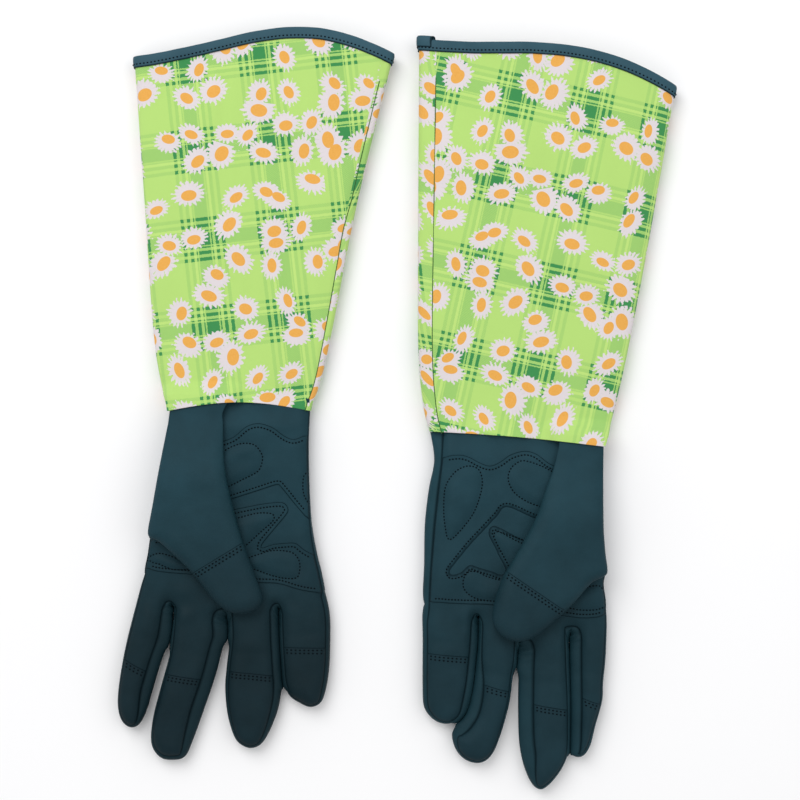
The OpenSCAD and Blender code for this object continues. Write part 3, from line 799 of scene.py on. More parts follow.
def wall_rows(glove, swell):
    """Rows of points from the front seam over the side walls to the back seam."""
    front, edge, back = glove.front, glove.edge, glove.back
    z_front = front_height(glove, front) - 0.25
    z_back = back_height(glove, back)
    out = -line_side(edge)
    folds = np.sin(lengths(edge) * PUCKER_WAVE) * glove.pucker
    rows = []
    for t in np.linspace(0, 1, 8):
        c, s = math.cos(t * math.pi / 2), math.sin(t * math.pi / 2)
        crease = PUCKER_DEEP * (glove.pucker + folds) * math.sin(t * math.pi)
        xy = front + (edge - front) * s + out * (swell * s - crease)[:, None]
        z = WALL_MID_Z + (z_front - WALL_MID_Z) * c
        z += PUCKER_HIGH * folds * math.sin(t * math.pi)
        rows.append(np.column_stack([xy, z]))
    for t in np.linspace(0, 1, 6)[1:]:
        c, s = math.cos(t * math.pi / 2), math.sin(t * math.pi / 2)
        xy = edge + (back - edge) * (1 - c) + out * (swell * c)[:, None]
        z = WALL_MID_Z + (z_back - WALL_MID_Z) * s
        rows.append(np.column_stack([xy, z]))
    return rows


def grid_faces(rows, columns):
    r, c = np.meshgrid(np.arange(rows - 1), np.arange(columns - 1), indexing="ij")
    a = (r * columns + c).ravel()
    return np.stack([a, a + columns, a + columns + 1, a + 1], 1)


def make_walls(glove):
    rows = wall_rows(glove, glove.meet)
    count = len(glove.edge)
    faces = grid_faces(len(rows), count)
    owner = np.zeros(len(faces), int)
    for k, (a, b) in enumerate(glove.cuts):
        column = faces[:, 0] % count
        owner[(column >= a) & (column < b)] = k + 1
    names = [("fourchettes",)] + [(f + "_side_wall",) for f in FINGERS]
    # Painted shade along the walls' two seams, carried by the rim attribute
    rim = np.zeros(len(rows) * count)
    rim[:count] = 0.9
    rim[-count:] = 0.9
    split_by_finger(glove, "wall", np.vstack(rows), faces, owner, rim,
                    MATERIALS["dark_leather"], names)


# ---- Patches, pads and stitches ----

def rounded(d, radius):
    """0 to 1: the height of a rounded edge at a distance from it."""
    t = np.clip(d / radius, 0, 1)
    return np.sqrt(np.maximum(0, 1 - (1 - t) ** 2))


def from_loops(p, loops):
    """How far points are from the nearest of some closed lines."""
    return np.min([distance_to(p, loop) for loop in loops], 0)


def patch_height(glove, p):
    """Height of the palm patch's surface, with its pads pushing it up."""
    free = from_loops(p, glove.patch)
    rise = PATCH_T * rounded(free, 0.8) - 0.05
    rise -= 0.22 * bell(free - ROW_INSET, 0.7)
    for pad in glove.pads:
        d = distance_to(p, pad)
        on = inside(p, [pad])
        rise += np.where(on, PAD_RISE * smooth(d / 6.0) * 0.75 + 0.35 * smooth(d / 1.5), 0)
        rise -= 0.34 * bell(d, 0.75)
    return front_height(glove, p) + rise


def make_palm_patch(glove):
    verts, faces = fill_points(glove.patch, 1.5, 1.5, (0.25, 0.6, 1.1))
    solid = np.column_stack([verts, patch_height(glove, verts)])
    # The rim given here is painted shade along the patch's edges
    leather_skin(glove, "palm_patch", solid, faces, "patch_leather", "hand",
                 "palm_patch", bell(from_loops(verts, glove.patch), 0.4))
    make_pads(glove)
    rows = [row for loop in glove.patch for row in row_inside(glove, loop)]
    rows += [(pad, True) for pad in glove.pads]
    sewn = []
    for line, closed in rows:
        spots, ways = stitch_places(line, closed)
        good = distance_to(spots, glove.front, closed=False) > 0.7
        sewn.append(sewn_on(spots[good], ways[good], lambda p: patch_height(glove, p), 0.10))
    add_stitches(glove, "palm_stitches", sewn, "hand")


def row_inside(glove, loop):
    """Lines for the stitches inside a patch's loop, along those edges that are free."""
    turn = 1 if loop is glove.patch[0] else -1
    moved = loop + turn * ROW_INSET * ring_side(loop)
    good = distance_to(moved, loop) > 0.9 * ROW_INSET
    good &= distance_to(loop, glove.front, closed=False) > 1.4
    good &= distance_to(moved, glove.front, closed=False) > 1.6
    good &= inside(moved, [glove.front_ring])
    if good.all():
        return [(moved, True)]
    start = int(np.argmin(good))
    moved, good = np.roll(moved, -start, 0), np.roll(good, -start)
    lines, run = [], []
    for point, ok in zip(moved, good):
        near = not run or np.linalg.norm(point - run[-1]) < 6
        if ok and near:
            run.append(point)
            continue
        if len(run) > 5:
            lines.append((np.array(run), False))
        run = [point] if ok else []
    if len(run) > 5:
        lines.append((np.array(run), False))
    return lines


def add_stitches(glove, name, sewn, body, thread="thread", **sizes):
    """One piece from pairs of stitches' places and ways."""
    places, ways = (np.vstack(part) for part in zip(*sewn))
    verts, faces = placed(glove, *stitch_mesh(places, ways, **sizes))
    obj = add_mesh(f"{glove.side}_{name}", verts, faces, MATERIALS[thread])
    return finish_piece(glove, obj, body)


def thick_piece(glove, name, verts, faces, top, bottom, material):
    """A closed piece between two heights over the same flat shape."""
    count = len(verts)
    sides = {(f[k - 1], f[k]): True for f in faces for k in (1, 2, 0)}
    rim = [(a, b) for a, b in sides if (b, a) not in sides]
    solid = np.vstack([np.column_stack([verts, top]), np.column_stack([verts, bottom])])
    triangles = [tuple(f) for f in faces] + [tuple(f[::-1] + count) for f in faces]
    triangles += [(a, a + count, b + count) for a, b in rim]
    triangles += [(a, b + count, b) for a, b in rim]
    v, f = placed(glove, solid, triangles)
    return add_mesh(f"{glove.side}_{name}", v, f, material)


def make_pads(glove):
    nodes = [("ulnar_heel_pad", [0]), ("thumb_heel_pad", [1]), ("palm_pads", [2, 3, 4])]
    for name, which in nodes:
        loops = [glove.pads[k] for k in which if k < len(glove.pads)]
        parts = [fill_points([loop], 2.6, 1.2, (0.5,)) for loop in loops]
        verts = np.vstack([p[0] for p in parts])
        shift = np.cumsum([0] + [len(p[0]) for p in parts])
        faces = np.vstack([p[1] + s for p, s in zip(parts, shift)])
        top = patch_height(glove, verts) - 0.6
        base = np.minimum(front_height(glove, verts), top) - 0.1
        obj = thick_piece(glove, name, verts, faces, top, base, MATERIALS["padding"])
        finish_piece(glove, obj, "hand", [name])


def make_tip_patches(glove):
    for finger, cut, line in zip(FINGERS, glove.cuts, TIP_LINES[glove.side]):
        point, way = (np.array(q) for q in line)
        past = (glove.front - point) @ way > 0
        first = next(i for i in range(*cut) if past[i])
        last = next(i for i in reversed(range(*cut)) if past[i]) + 1
        front = glove.front[first:last]
        loop = np.vstack([front, resample(np.array([front[-1], front[0]]), 16)[1:-1]])
        verts, faces = fill_points([loop], 1.5, 1.2, (0.35, 0.9))
        start = (verts - front[0]) @ way_of(front)
        side = distance_to(verts, front, closed=False)
        lift = TIP_T * rounded(start, 0.8) * rounded(side, 0.8) + 0.02
        solid = np.column_stack([verts, front_height(glove, verts) + lift])
        node = finger + "_tip_patch"
        # The rim given here is painted shade along each tip patch's seam line and sides
        leather_skin(glove, node, solid, faces, "tip_leather", finger, node,
                     np.maximum(bell(start, 0.4), 0.8 * bell(side, 0.4)))
        tip_rows(glove, f"{finger}_tip_stitches", front, finger, lambda p: front_height(glove, p))


def way_of(front):
    """The way a tip points: across the line between the two ends of its outline."""
    return -left_of(unit(front[-1] - front[0]))


def tip_rows(glove, name, outline, body, height):
    """Two rows of stitches along the edge of a tip patch."""
    way = way_of(outline)
    across = left_of(way)
    sewn = []
    for beyond in TIP_ROWS:
        depth = (outline - outline[0]) @ way
        ring = np.abs(depth - beyond) < 1.2
        reach = (outline[ring] - outline[0]) @ across
        a, b = reach.min() + 1.0, reach.max() - 1.0
        line = np.array([outline[0] + way * beyond + across * x for x in (a, b)])
        sewn.append(sewn_on(*stitch_places(line, pitch=TIP_PITCH), height, TIP_T + 0.06))
    add_stitches(glove, name, sewn, body)


# ---- Thumb ----

def thumb_heights(glove, p):
    """The thumb's upper and lower height at points p."""
    d = distance_to(p, glove.thumb) * inside(p, [glove.thumb])
    away = smooth((-glove.above_wrist(p) - 2) / 46)
    full = THUMB_WRIST_TOP + (THUMB_TOP - THUMB_WRIST_TOP) * away
    seam = THUMB_LOW + 0.42 * (full - THUMB_LOW)
    round_top = rounded(d, THUMB_ROUND) ** 0.9
    top = seam + (full - seam) * round_top + 0.35 * waves(p, 40, glove.seed + 7) * smooth(d / 10)
    low = seam - (seam - THUMB_LOW) * rounded(d, 5.0)
    return top, low


def make_thumb(glove):
    verts, faces = fill_points([glove.thumb], 1.8, 1.6, (0.2, 0.6, 1.2))
    top, low = thumb_heights(glove, verts)
    for name, z, tris in (("thumb_outer_panel", top, faces),
                          ("thumb_inner_panel", low, faces[:, ::-1])):
        leather_skin(glove, name, np.column_stack([verts, z]), tris, "teal_leather", "thumb",
                     name)
    make_thumb_patch(glove)
    make_thumb_fold(glove)


def make_thumb_patch(glove):
    point, way = (np.array(q) for q in THUMB_LINE[glove.side])
    ring = glove.thumb
    past = (ring - point) @ way > 0
    start = next(i for i in range(len(ring)) if past[i] and not past[i - 1])
    ring, past = np.roll(ring, -start, 0), np.roll(past, -start)
    arc = ring[:int(np.argmin(past))]
    line = resample(np.array([arc[-1], arc[0]]), 26)[1:-1]
    loop = np.vstack([arc, line])
    verts, faces = fill_points([loop], 1.5, 1.2, (0.2, 0.6, 1.1))
    top, _ = thumb_heights(glove, verts)
    lift = TIP_T * rounded((verts - arc[0]) @ way_of(arc), 0.8)
    out = distance_to(verts, glove.thumb) < 0.3
    verts = verts + unit(verts - verts.mean(0)) * (lift * out * 0.5)[:, None]
    solid = np.column_stack([verts, top + lift - 0.03])
    # The rim given here is painted shade along the line where the tip patch starts
    leather_skin(glove, "thumb_tip_patch", solid, faces, "tip_leather", "thumb",
                 "thumb_tip_patch", bell((verts - arc[0]) @ way_of(arc), 0.4))
    tip_rows(glove, "thumb_stitches", arc, "thumb", lambda p: thumb_heights(glove, p)[0])


def make_thumb_fold(glove):
    """The roll of leather that joins the folded thumb to the hand's edge."""
    last = next(i for i in range(len(glove.edge)) if glove.edge[i, 1] < FOLD_END)
    edge = glove.edge[:last]
    inward = line_side(edge)
    run = lengths(edge) / lengths(edge)[-1]
    size = smooth((1 - run) / 0.12) * (0.55 + 0.45 * smooth(run / 0.3))
    rows = []
    for depth, z in FOLD_PROFILE:
        height = FOLD_BASE + (z - FOLD_BASE) * size
        rows.append(np.column_stack([edge + inward * depth, height]))
    solid = np.vstack(rows[::-1])
    faces = grid_faces(len(rows), len(edge))
    v, f = placed(glove, solid, faces)
    obj = add_mesh(glove.side + "_thumb_fold", v, f, MATERIALS["teal_leather"])
    finish_piece(glove, obj, "hand")


# ---- Cuff ----

def ring_turns(count):
    """Turns round a flattened tube that are evenly spaced along its skin."""
    square = np.linspace(0, 1, 1500) ** 2
    quarter = np.unique(np.concatenate([np.arccos(square), np.arcsin(square)]))
    fine = np.unique(np.concatenate([quarter + k * math.pi / 2 for k in range(4)]))
    s = lengths(np.column_stack([62 * signed_root(np.cos(fine)), 7.5 * signed_root(np.sin(fine))]))
    return np.interp(np.arange(count) / count * s[-1], s, fine)


def front_share(turns):
    """How far a cuff's waves show round its skin: fully on top, and not at all below."""
    return np.clip(np.sin(turns), 0, 1) ** 0.3


def wrinkles(glove, flat, turns):
    """The cotton's broad, soft waves."""
    wave = sum(high * waves(flat * squeeze, length, glove.seed + 20 + n)
               for n, (high, length, squeeze) in enumerate(WRINKLES))
    return wave * front_share(turns)


def tube_faces(rows, columns, closed=True):
    """Faces round a tube whose rows run along it, with flat ends where it isn't closed."""
    faces = []
    for r in range(rows):
        n = (r + 1) % rows
        for c in range(columns if closed else columns - 1):
            d = (c + 1) % columns
            faces.append((r * columns + d, n * columns + d, n * columns + c, r * columns + c))
    if not closed:
        faces.append(tuple(r * columns for r in range(rows)))
        faces.append(tuple(r * columns + columns - 1 for r in reversed(range(rows))))
    return faces


class Cuff:
    """A cuff's skin: rows run from the wrist to the mouth."""

    def __init__(self, glove):
        self.glove = glove
        self.shape = CUFFS[glove.side]
        self.thumb = soften(np.array(self.shape["thumb"], float), 28)
        self.little = soften(np.array(self.shape["little"], float), 28)
        self.last = len(self.thumb) - 1
        self.turns = ring_turns(CUFF_COLUMNS)

    def row(self, i, off, turns, under=0.0):
        """Points round row i, moved outwards by off; under moves the hem's row back."""
        thumb, little = self.thumb[i], self.little[i]
        s = i / self.last
        across = (little - thumb) / np.linalg.norm(little - thumb)
        half = np.linalg.norm(little - thumb) / 2 + off
        high = CUFF_WRIST_H + (CUFF_MOUTH_H - CUFF_WRIST_H) * s
        u, v = signed_root(np.cos(turns)), signed_root(np.sin(turns))
        a = (1 + u) / 2
        lean = a if self.glove.side == "right" else 1 - a
        lift = self.shape["arch"] * s * s * np.sin(math.pi * lean ** 1.5)
        xy = (thumb + little) / 2 + (half * u)[:, None] * across
        xy[:, 1] += lift
        arch = self.shape["hem"][0] + self.shape["hem"][1] * np.sin(math.pi * a)
        xy += (arch * under)[:, None] * self.glove.up
        z = high / 2 + BINDING_T + 0.1 + v * (high / 2 + off)
        return np.column_stack([xy, z])

    def skin(self, off):
        """Every row of the skin, with its soft wrinkles and its clearance over the hand."""
        rows = []
        for i in range(self.last + 1):
            p = self.row(i, off, self.turns, 1 - smooth(i / 9.0))
            over = np.sin(self.turns) > 0
            flat = p[:, :2]
            gather = waves(flat * [1.0, 0.12], 11, self.glove.seed + 22) * math.exp(-i / 11.0)
            clear = 1.6 * (1 - smooth(i / 24.0))
            p[:, 2] += wrinkles(self.glove, flat, self.turns)
            p[:, 2] += (0.55 * gather + clear) * front_share(self.turns)
            rise = thumb_heights(self.glove, flat)[0] + HEM_CLEAR + off + COTTON_T - p[:, 2]
            thumb = self.glove.thumb
            gap = distance_to(flat, thumb) * ~inside(flat, [thumb])
            rise = np.maximum(rise, 0) * (1 - smooth(gap / HEM_SLOPE))
            p[:, 2] += np.where(over, rise, 0)
            sunk = 0.5 * bell(self.seam_x(i) - p[:, 0], 0.8) * smooth(i / self.last * 30)
            p[:, 2] -= np.where(over, sunk, 0)
            rows.append(p)
        return rows

    def seam_x(self, i):
        """Where the side seam runs on the front of row i."""
        along = i / self.last
        return self.little[i][0] - self.shape["seam_in"] * (0.75 + 0.25 * along)


def make_cuff(glove):
    cuff = Cuff(glove)
    outer, inner = cuff.skin(0.0), cuff.skin(-COTTON_T)
    rows, last = 2 * len(outer), len(outer)
    seam = seam_column(cuff)
    around = [centred_lengths(row, seam) for row in outer]

    def on_cloth(r, c, ahead):
        """Where a face's corner lies on the flat cloth."""
        row = min(r % rows, 2 * last - 1 - r % rows)
        return (around[row][(c - seam) % CUFF_COLUMNS + ahead],
                outer[row][(c + ahead) % CUFF_COLUMNS, 1])

    corners = [[on_cloth(r, c, 1), on_cloth(r + 1, c, 1), on_cloth(r + 1, c, 0),
                on_cloth(r, c, 0)] for r in range(rows) for c in range(CUFF_COLUMNS)]
    verts, faces = placed(glove, np.vstack(outer + inner[::-1]), tube_faces(rows, CUFF_COLUMNS))
    obj = add_mesh(glove.side + "_cuff_sleeve", verts, faces, MATERIALS[glove.side + "_cotton"])
    layer = obj.data.uv_layers.new(name="cloth")
    flat = np.array(corners)[:, ::glove.flip] * MM
    layer.data.foreach_set("uv", flat.astype(np.float32).ravel())
    finish_piece(glove, obj, "cuff", ["cuff_sleeve"])
    trims = make_binding(glove, cuff)
    trims.append(make_side_seam(glove, cuff, outer))


def seam_column(cuff):
    """The column of the skin that lies nearest to the side seam, half way along."""
    mid = cuff.last // 2
    p = cuff.row(mid, 0.0, cuff.turns)
    gap = np.abs(p[:, 0] - cuff.seam_x(mid)) + 100 * (np.sin(cuff.turns) < 0.05)
    return int(np.argmin(gap))


def centred_lengths(row, start):
    """Lengths round a row from its seam, counted down from the glove's middle line."""
    turned = np.roll(row, -start, 0)
    run = lengths(np.vstack([turned, turned[:1]]))
    middle = int(np.argmax(turned[:, 0] < 0))
    return run[middle] + turned[middle, 0] - run


def mouth_points(cuff, turns, along, off):
    """Points round the mouth, moved along past it and outwards by off."""
    here = cuff.row(cuff.last, off, turns)
    base = cuff.row(cuff.last, 0.0, turns)
    before = cuff.row(cuff.last - 4, 0.0, turns)
    here[:, :2] += along * unit((base - before)[:, :2])
    here[:, 2] += wrinkles(cuff.glove, here[:, :2], turns)
    return here


def make_binding(glove, cuff):
    turns = ring_turns(360)
    pieces = [sweep_binding(glove, cuff, "cuff_binding", turns, True)]
    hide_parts(glove.side + "_cuff_binding")
    if glove.side == "left":
        lap = np.linspace(*np.radians(LAP_TURNS), 24)
        pieces.append(sweep_binding(glove, cuff, "binding_end", lap, False, LAP_PAST, LAP_SCALE))
    places = mouth_points(cuff, ring_turns(BINDING_STITCHES), BINDING_STITCH_AT - BINDING_W,
                          BINDING_T + 0.1)
    ahead = np.roll(places, -1, 0) - np.roll(places, 1, 0)
    pieces.append(add_stitches(glove, "binding_stitches", [(places, ahead)], "cuff"))
    return pieces


def sweep_binding(glove, cuff, name, turns, closed, past=0.0, scale=1.0):
    """The binding's section carried round the mouth, or round some of it."""
    rows = []
    for along, off in BINDING_PROFILE:
        grown = off * scale if off > 0 else off
        rows.append(mouth_points(cuff, turns, along + past, grown))
    count = len(turns)
    rim = np.zeros((len(rows), count))
    # Painted shadow: a dark line along the binding's lower lip and, on the lapped end, along its
    # free end
    rim[:len(BINDING_LIP_SHADOW)] = np.array(BINDING_LIP_SHADOW)[:, None]
    if not closed:
        rim[:, -1] = 0.9
    verts, faces = placed(glove, np.vstack(rows), tube_faces(len(rows), count, closed))
    obj = add_mesh(f"{glove.side}_{name}", verts, faces, MATERIALS["teal_binding"],
                   rim=rim.ravel())
    return finish_piece(glove, obj, "cuff")


def make_side_seam(glove, cuff, outer):
    """A dark green line sunk in the cuff's one side seam: painted fold shadow, built as one long
    thread.
    """
    line = []
    for i, row in enumerate(outer):
        front = row[np.sin(cuff.turns) > 0.02]
        line.append(front[int(np.argmin(np.abs(front[:, 0] - cuff.seam_x(i))))])
    line = np.array(line)
    spots = resample(soften(line[::6])[1:-4], int(lengths(line)[-1] / 2.0))
    return add_stitches(glove, "cuff_seam", [(spots, np.gradient(spots, axis=0))], "cuff",
                        "seam_fold_shadow", length=2.6, radius=0.3)


def make_elastic(glove):
    """The ribbed elastic inside the wrist."""
    low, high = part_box(glove.side + "_wrist_elastic")
    columns = 141
    xs = np.linspace(low[0], high[0], columns)
    ribs = np.abs(np.sin(np.linspace(0, 46 * math.pi, columns))) * 0.25 * MM
    rows = [(low[1], low[2]), (low[1], high[2] - 0.3 * MM), (high[1], high[2] - 0.3 * MM),
            (high[1], low[2])]
    verts = np.vstack([np.column_stack([xs, np.full(columns, y), z + ribs * (z > low[2])])
                       for y, z in rows])
    faces = tube_faces(len(rows), columns, False)
    obj = add_mesh(glove.side + "_wrist_elastic", verts, faces, MATERIALS["elastic"])
    finish_piece(glove, obj, "hand", ["wrist_elastic"])


# ---- Materials ----

def linear(red, green, blue):
    """A linear colour from screen values of 0 to 255."""
    out = []
    for c in (red, green, blue):
        c /= 255
        out.append(c / 12.92 if c <= 0.04045 else ((c + 0.055) / 1.055) ** 2.4)
    return (*out, 1)


class Shader:
    """A short way to write a material's nodes."""

    def __init__(self, name):
        self.material = bpy.data.materials.new(name)
        self.material.use_nodes = True
        self.tree = self.material.node_tree
        self.surface = next(n for n in self.tree.nodes if n.type == "BSDF_PRINCIPLED")

    def node(self, kind, inputs=None, **settings):
        node = self.tree.nodes.new("ShaderNode" + kind)
        for key, value in settings.items():
            setattr(node, key, value)
        for key, value in (inputs or {}).items():
            self.put(node.inputs[key], value)
        return node

    def put(self, socket, value):
        if hasattr(value, "is_output"):
            self.tree.links.new(value, socket)
        elif value is not None:
            socket.default_value = value

    def math(self, operation, a, b=None, c=None):
        return self.node("Math", {0: a, 1: b, 2: c}, operation=operation).outputs[0]

    def add(self, a, b):
        return self.math("ADD", a, b)

    def minus(self, a, b):
        return self.math("SUBTRACT", a, b)

    def times(self, a, b):
        return self.math("MULTIPLY", a, b)

    def over(self, a, b):
        return self.math("DIVIDE", a, b)

    def most(self, a, b):
        return self.math("MAXIMUM", a, b)

    def vector(self, operation, a, b):
        return self.node("VectorMath", {0: a, 1: b}, operation=operation).outputs[0]

    def mix(self, amount, a, b, blend="MIX"):
        node = self.node("Mix", data_type="RGBA", blend_type=blend)
        self.put(node.inputs[0], amount)
        self.put(node.inputs[6], a)
        self.put(node.inputs[7], b)
        return node.outputs[2]

    def noise(self, where, scale, detail=3.0, rough=0.5):
        return self.node("TexNoise", {"Vector": where, "Scale": scale, "Detail": detail,
                                      "Roughness": rough}).outputs["Fac"]

    def range(self, value, a, b, c=0.0, d=1.0):
        return self.node("MapRange", {0: value, 1: a, 2: b, 3: c, 4: d}).outputs[0]

    def bump(self, height, strength, distance, normal=None):
        node = self.node("Bump", {"Height": height, "Strength": strength,
                                  "Distance": distance})
        if normal is not None:
            self.put(node.inputs["Normal"], normal)
        return node.outputs[0]

    def finish(self, color, rough, normal=None, specular=0.4, sheen=0.0):
        self.put(self.surface.inputs["Base Color"], color)
        self.put(self.surface.inputs["Roughness"], rough)
        self.put(self.surface.inputs["Specular IOR Level"], specular)
        if sheen:
            self.put(self.surface.inputs["Sheen Weight"], sheen)
            self.put(self.surface.inputs["Sheen Roughness"], 0.6)
        if normal is not None:
            self.put(self.surface.inputs["Normal"], normal)
        return self.material


def leather(name, color, light, rough=0.62):
    """Fine-grained synthetic leather, a little paler where it is rubbed, with painted shade
    towards the fingertips and along seams and edges.
    """
    s = Shader(name)
    where = s.node("TexCoord").outputs["Object"]
    broad = s.noise(where, 28.0, 4.0, 0.6)
    grain = s.node("TexVoronoi", {"Vector": where, "Scale": 1500.0}).outputs["Distance"]
    pores = s.noise(where, 2600.0, 2.0, 0.6)
    mottled_and_shaded = s.mix(s.range(broad, 0.35, 0.68), color, light)
    # Painted shade: towards the fingertips the colour is mixed towards black, by FINGER_SHADE for
    # each glove
    place = s.node("SeparateXYZ", {0: where}).outputs
    shade = s.range(place[0], -0.02, 0.0, FINGER_SHADE["right"], FINGER_SHADE["left"])
    shade = s.times(shade, s.range(place[1], -0.06, -0.15))
    mottled_and_shaded = s.mix(shade, mottled_and_shaded, (0, 0, 0, 1))
    # Painted shade: where the rim attribute says, as along seams and edges, the colour goes
    # towards dark teal and the shine drops
    rim = s.node("Attribute", attribute_name="rim").outputs["Fac"]
    mottled_and_shaded = s.mix(s.times(rim, 0.85), mottled_and_shaded, linear(6, 14, 18))
    fine = s.mix(s.range(pores, 0.3, 0.75, 0.0, 0.08), mottled_and_shaded, light, "ADD")
    height = s.add(s.times(grain, 0.6), s.times(pores, 0.7))
    folds = s.noise(where, 150.0, 3.0, 0.55)
    normal = s.bump(folds, 0.22, 0.0012, s.bump(height, 0.30, 0.00025))
    return s.finish(fine, s.range(broad, 0.3, 0.7, rough - 0.05, rough + 0.07), normal,
                    s.range(rim, 0.0, 1.0, 0.13, 0.02))


def thread_material(name, dark, light):
    s = Shader(name)
    where = s.node("TexCoord").outputs["Object"]
    twist = s.noise(where, 3200.0, 2.0)
    return s.finish(s.mix(twist, dark, light), 0.8, s.bump(twist, 0.4, 0.0002), 0.05)


def padding_material():
    s = Shader("Padding")
    where = s.node("TexCoord").outputs["Object"]
    cells = s.node("TexVoronoi", {"Vector": where, "Scale": 900.0}).outputs["Distance"]
    color = s.mix(cells, linear(205, 203, 190), linear(228, 226, 214))
    return s.finish(color, 0.9, s.bump(cells, 0.5, 0.0004), 0.2)


def elastic_material():
    s = Shader("Elastic")
    where = s.node("TexCoord").outputs["Object"]
    ribs = s.node("TexWave", {"Vector": where, "Scale": 160.0, "Distortion": 0.4}).outputs["Fac"]
    color = s.mix(ribs, linear(196, 196, 190), linear(226, 226, 220))
    return s.finish(color, 0.85, s.bump(ribs, 0.5, 0.0003), 0.2)


def band(s, value, low, high):
    return s.math("COMPARE", value, (low + high) / 2, (high - low) / 2)


def stripes(s, value, period):
    """How far a value is from the middle of the nearest group of stripes."""
    turn = s.math("PINGPONG", s.add(value, 50 * period), period / 2)
    group = band(s, turn, -1.0, 4.0)
    for low, high in ((4.9, 5.7), (7.5, 9.7), (11.7, 13.9)):
        group = s.most(group, band(s, turn, low, high))
    return group, band(s, turn, -1.0, 4.3), band(s, turn, 5.8, 7.5)


def daisies(s, u, v, cell, shift, share):
    """Masks of petals and centres of daisies scattered over the cloth."""
    x = s.add(s.over(u, cell), shift[0])
    y = s.add(s.over(v, cell), shift[1])
    at = s.node("CombineXYZ", {0: x, 1: y}).outputs[0]
    cells = s.node("TexVoronoi", {"Vector": at, "Scale": 1.0, "Randomness": 0.62},
                   voronoi_dimensions="2D", feature="F1")
    local = s.node("SeparateXYZ",
                   {0: s.vector("SUBTRACT", at, cells.outputs["Position"])})
    chance = s.node("SeparateColor", {0: cells.outputs["Color"]}).outputs
    turn = s.times(chance[0], 2 * math.pi)
    cosine, sine = s.math("COSINE", turn), s.math("SINE", turn)
    px = s.add(s.times(local.outputs[0], cosine),
                s.times(local.outputs[1], sine))
    py = s.minus(s.times(local.outputs[1], cosine),
                s.times(local.outputs[0], sine))
    px, py = s.times(px, cell), s.times(py, cell)
    size = s.range(chance[1], 0.0, 1.0, 0.95, 1.24)
    flat = s.range(chance[2], 0.0, 1.0, 1.12, 1.55)
    px, py = s.over(px, size), s.times(s.over(py, size), flat)
    off = s.add(py, s.range(chance[0], 0.0, 1.0, -1.4, 3.0))
    far = s.math("SQRT", s.add(s.times(px, px), s.times(off, off)))
    angle = s.math("ARCTAN2", off, px)
    spokes = s.times(angle, 18 / (2 * math.pi))
    ripple = s.times(s.math("PINGPONG", s.add(spokes, 50.0), 0.5), 2.0)
    uneven = s.noise(at, 9.0, 2.0, 0.7)
    edge = s.add(s.times(ripple, 2.9), s.range(uneven, 0.3, 0.7, 5.2, 8.6))
    kept = s.math("LESS_THAN", s.math("FRACT", s.times(chance[1], 7.31)), share)
    petals = s.times(s.range(s.minus(edge, far), -0.15, 0.15), kept)
    near = s.math("SQRT", s.add(s.times(px, px),
                                 s.times(s.times(py, py), 1.25)))
    centre = s.times(s.range(s.minus(4.4, near), -0.12, 0.12), kept)
    shade = s.times(s.range(ripple, 0.0, 0.35, 1.0, 0.0), s.range(far, 4.5, 9.0))
    return petals, centre, shade


def cotton(name, tilt, shift):
    """Lime plaid with a twill weave and printed daisies."""
    s = Shader(name)
    uv = s.node("UVMap", uv_map="cloth").outputs[0]
    cloth = s.node("Mapping", {"Vector": uv, "Rotation": (0, 0, -math.radians(tilt)),
                               "Location": (shift[0], shift[1], 0)}).outputs[0]
    flat = s.node("SeparateXYZ", {0: s.vector("MULTIPLY", cloth, (1000, 1000, 1000))})
    wobble = s.node("TexNoise", {"Vector": cloth, "Scale": 900.0, "Detail": 1.0})
    fuzz = s.range(wobble.outputs["Fac"], 0.25, 0.75, -0.22, 0.22)
    u = s.add(flat.outputs[0], fuzz)
    v = s.add(flat.outputs[1], fuzz)
    across, bar_u, pale_u = stripes(s, u, PLAID[0])
    down, bar_v, pale_v = stripes(s, v, PLAID[1])
    twill = s.math("SINE", s.times(s.minus(u, v), 2 * math.pi / 1.15))
    half = s.math("GREATER_THAN", twill, -0.1)
    one = s.most(across, down)
    bar = s.most(bar_u, bar_v)
    both = s.times(across, down)
    pale = s.most(pale_u, pale_v)
    color = s.mix(s.times(pale, 0.35), PRINT["lime"], PRINT["yellow"])
    color = s.mix(s.times(one, s.range(half, 0.0, 1.0, 0.1, 0.55)), color,
                  PRINT["green"])
    color = s.mix(s.times(bar, s.range(half, 0.0, 1.0, 0.16, 0.74)), color,
                  PRINT["green"])
    color = s.mix(s.times(both, 0.93), color, PRINT["dark"])
    centres = None
    for cell, offset, share in DAISY_LAYERS:
        petals, centre, shade = daisies(s, flat.outputs[0], flat.outputs[1], cell, offset,
                                        share)
        white = s.mix(s.times(shade, 0.6), PRINT["petal"], PRINT["petal_dark"])
        color = s.mix(petals, color, white)
        centres = centre if centres is None else s.most(centres, centre)
    yolk = s.mix(wobble.outputs["Fac"], PRINT["centre"], PRINT["centre_light"])
    color = s.mix(centres, color, yolk)
    weave_u = s.math("SINE", s.times(flat.outputs[0], 2 * math.pi / 0.55))
    weave_v = s.math("SINE", s.times(flat.outputs[1], 2 * math.pi / 0.55))
    weave = s.times(weave_u, weave_v)
    color = s.mix(s.range(weave, -1.0, 1.0, 0.0, 0.08), color, (0, 0, 0, 1))
    folds = s.noise(cloth, 60.0, 3.0)
    normal = s.bump(folds, 0.18, 0.002, s.bump(weave, 0.25, 0.00015))
    return s.finish(color, 0.85, normal, 0.2, 0.15)


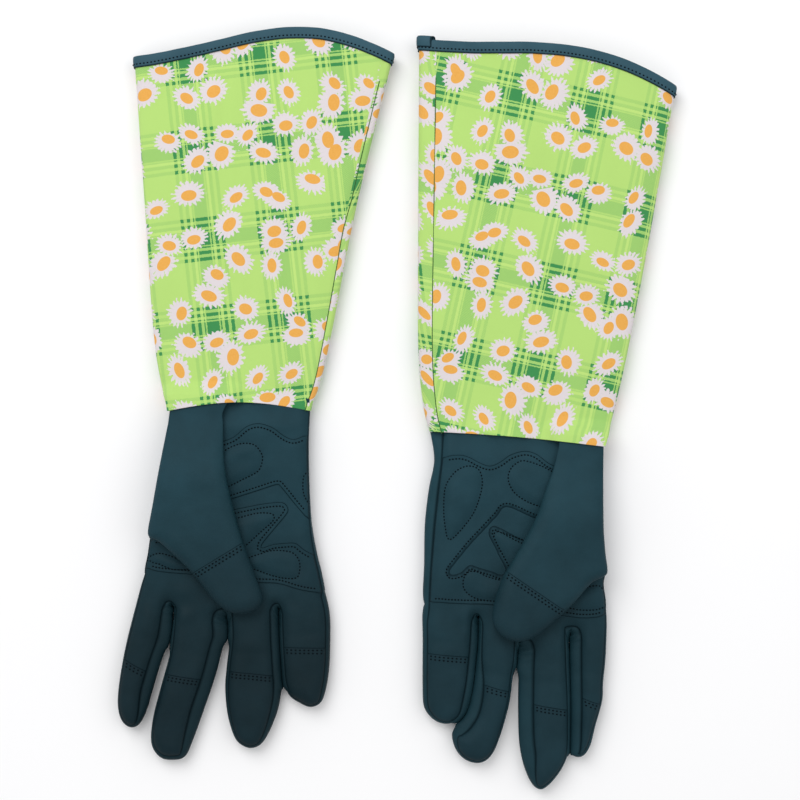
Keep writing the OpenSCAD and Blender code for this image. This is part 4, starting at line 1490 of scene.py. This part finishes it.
PRINT = {
    "lime": linear(180, 218, 118), "yellow": linear(200, 230, 130),
    "green": linear(134, 190, 102), "dark": linear(38, 134, 74),
    "petal": linear(221, 213, 216), "petal_dark": linear(196, 187, 196),
    "centre": linear(226, 160, 66), "centre_light": linear(236, 178, 90),
}
MATERIALS = {
    "teal_leather": leather("Teal leather", linear(20, 50, 59), linear(29, 60, 70)),
    "patch_leather": leather("Palm patch leather", linear(19, 49, 58), linear(28, 59, 69)),
    "tip_leather": leather("Fingertip leather", linear(19, 48, 57), linear(28, 58, 68)),
    # Painted light: a paler copy of the teal leather for the side walls, so that walls turned away
    # from the light look as bright as the fronts
    "dark_leather": leather("Side wall leather", linear(22, 53, 62), linear(30, 63, 73)),
    "teal_binding": leather("Binding", linear(42, 74, 86), linear(52, 84, 97), 0.55),
    # Near-black thread: real thread, with its dark colour painted shade of the needle holes it
    # sits in
    "thread": thread_material("Thread with painted shade", linear(4, 10, 14), linear(10, 20, 26)),
    # Painted shadow: the dark green line where the cuff's cloth folds into its side seam
    "seam_fold_shadow": thread_material("Seam fold shadow", linear(52, 88, 48), linear(74, 112, 62)),
    "padding": padding_material(),
    "elastic": elastic_material(),
    "right_cotton": cotton("Printed cotton, right", 6.5, CUFFS["right"]["shift"]),
    "left_cotton": cotton("Printed cotton, left", 12.5, CUFFS["left"]["shift"]),
}


# ---- Both gloves ----

for number, side in enumerate(("right", "left")):
    glove = Glove(side, 40 + 100 * number)
    make_fronts_and_backs(glove)
    make_walls(glove)
    make_palm_patch(glove)
    make_tip_patches(glove)
    make_thumb(glove)
    make_cuff(glove)
    make_elastic(glove)


# ---- Floor, light and camera ----

def make_floor():
    verts = [(-3, -3, 0), (3, -3, 0), (3, 3, 0), (-3, 3, 0)]
    s = Shader("Pale floor")
    where = s.node("TexCoord").outputs["Object"]
    color = s.mix(s.noise(where, 3.0), linear(244, 244, 245), linear(250, 250, 251))
    obj = add_mesh("floor", verts, [(0, 1, 2, 3)], s.finish(color, 0.9, None, 0.1))


def add_light(name, place, size, power):
    """A round, soft light that points at the middle of the table."""
    data = bpy.data.lights.new(name, "AREA")
    data.shape = "DISK"
    data.size = size
    data.energy = power
    obj = add_object(name, data)
    obj.location = place
    obj.rotation_euler = (-Vector(place)).to_track_quat("-Z", "Y").to_euler()


def add_camera():
    data = bpy.data.cameras.new("camera")
    data.lens = LENS
    data.sensor_width = 36
    data.clip_start = 0.01
    obj = add_object("camera", data)
    obj.location = CAMERA_AT
    obj.rotation_euler = (0, 0, 0)
    bpy.context.scene.camera = obj


make_floor()
for name, (place, size, power) in LIGHTS.items():
    add_light(name, place, size, power)
world = bpy.data.worlds.new("studio")
world.use_nodes = True
background = next(n for n in world.node_tree.nodes if n.type == "BACKGROUND")
background.inputs["Color"].default_value = (1, 1, 1, 1)
background.inputs["Strength"].default_value = STUDIO_STRENGTH
bpy.context.scene.world = world
bpy.context.scene.view_settings.view_transform = "Standard"
add_camera()
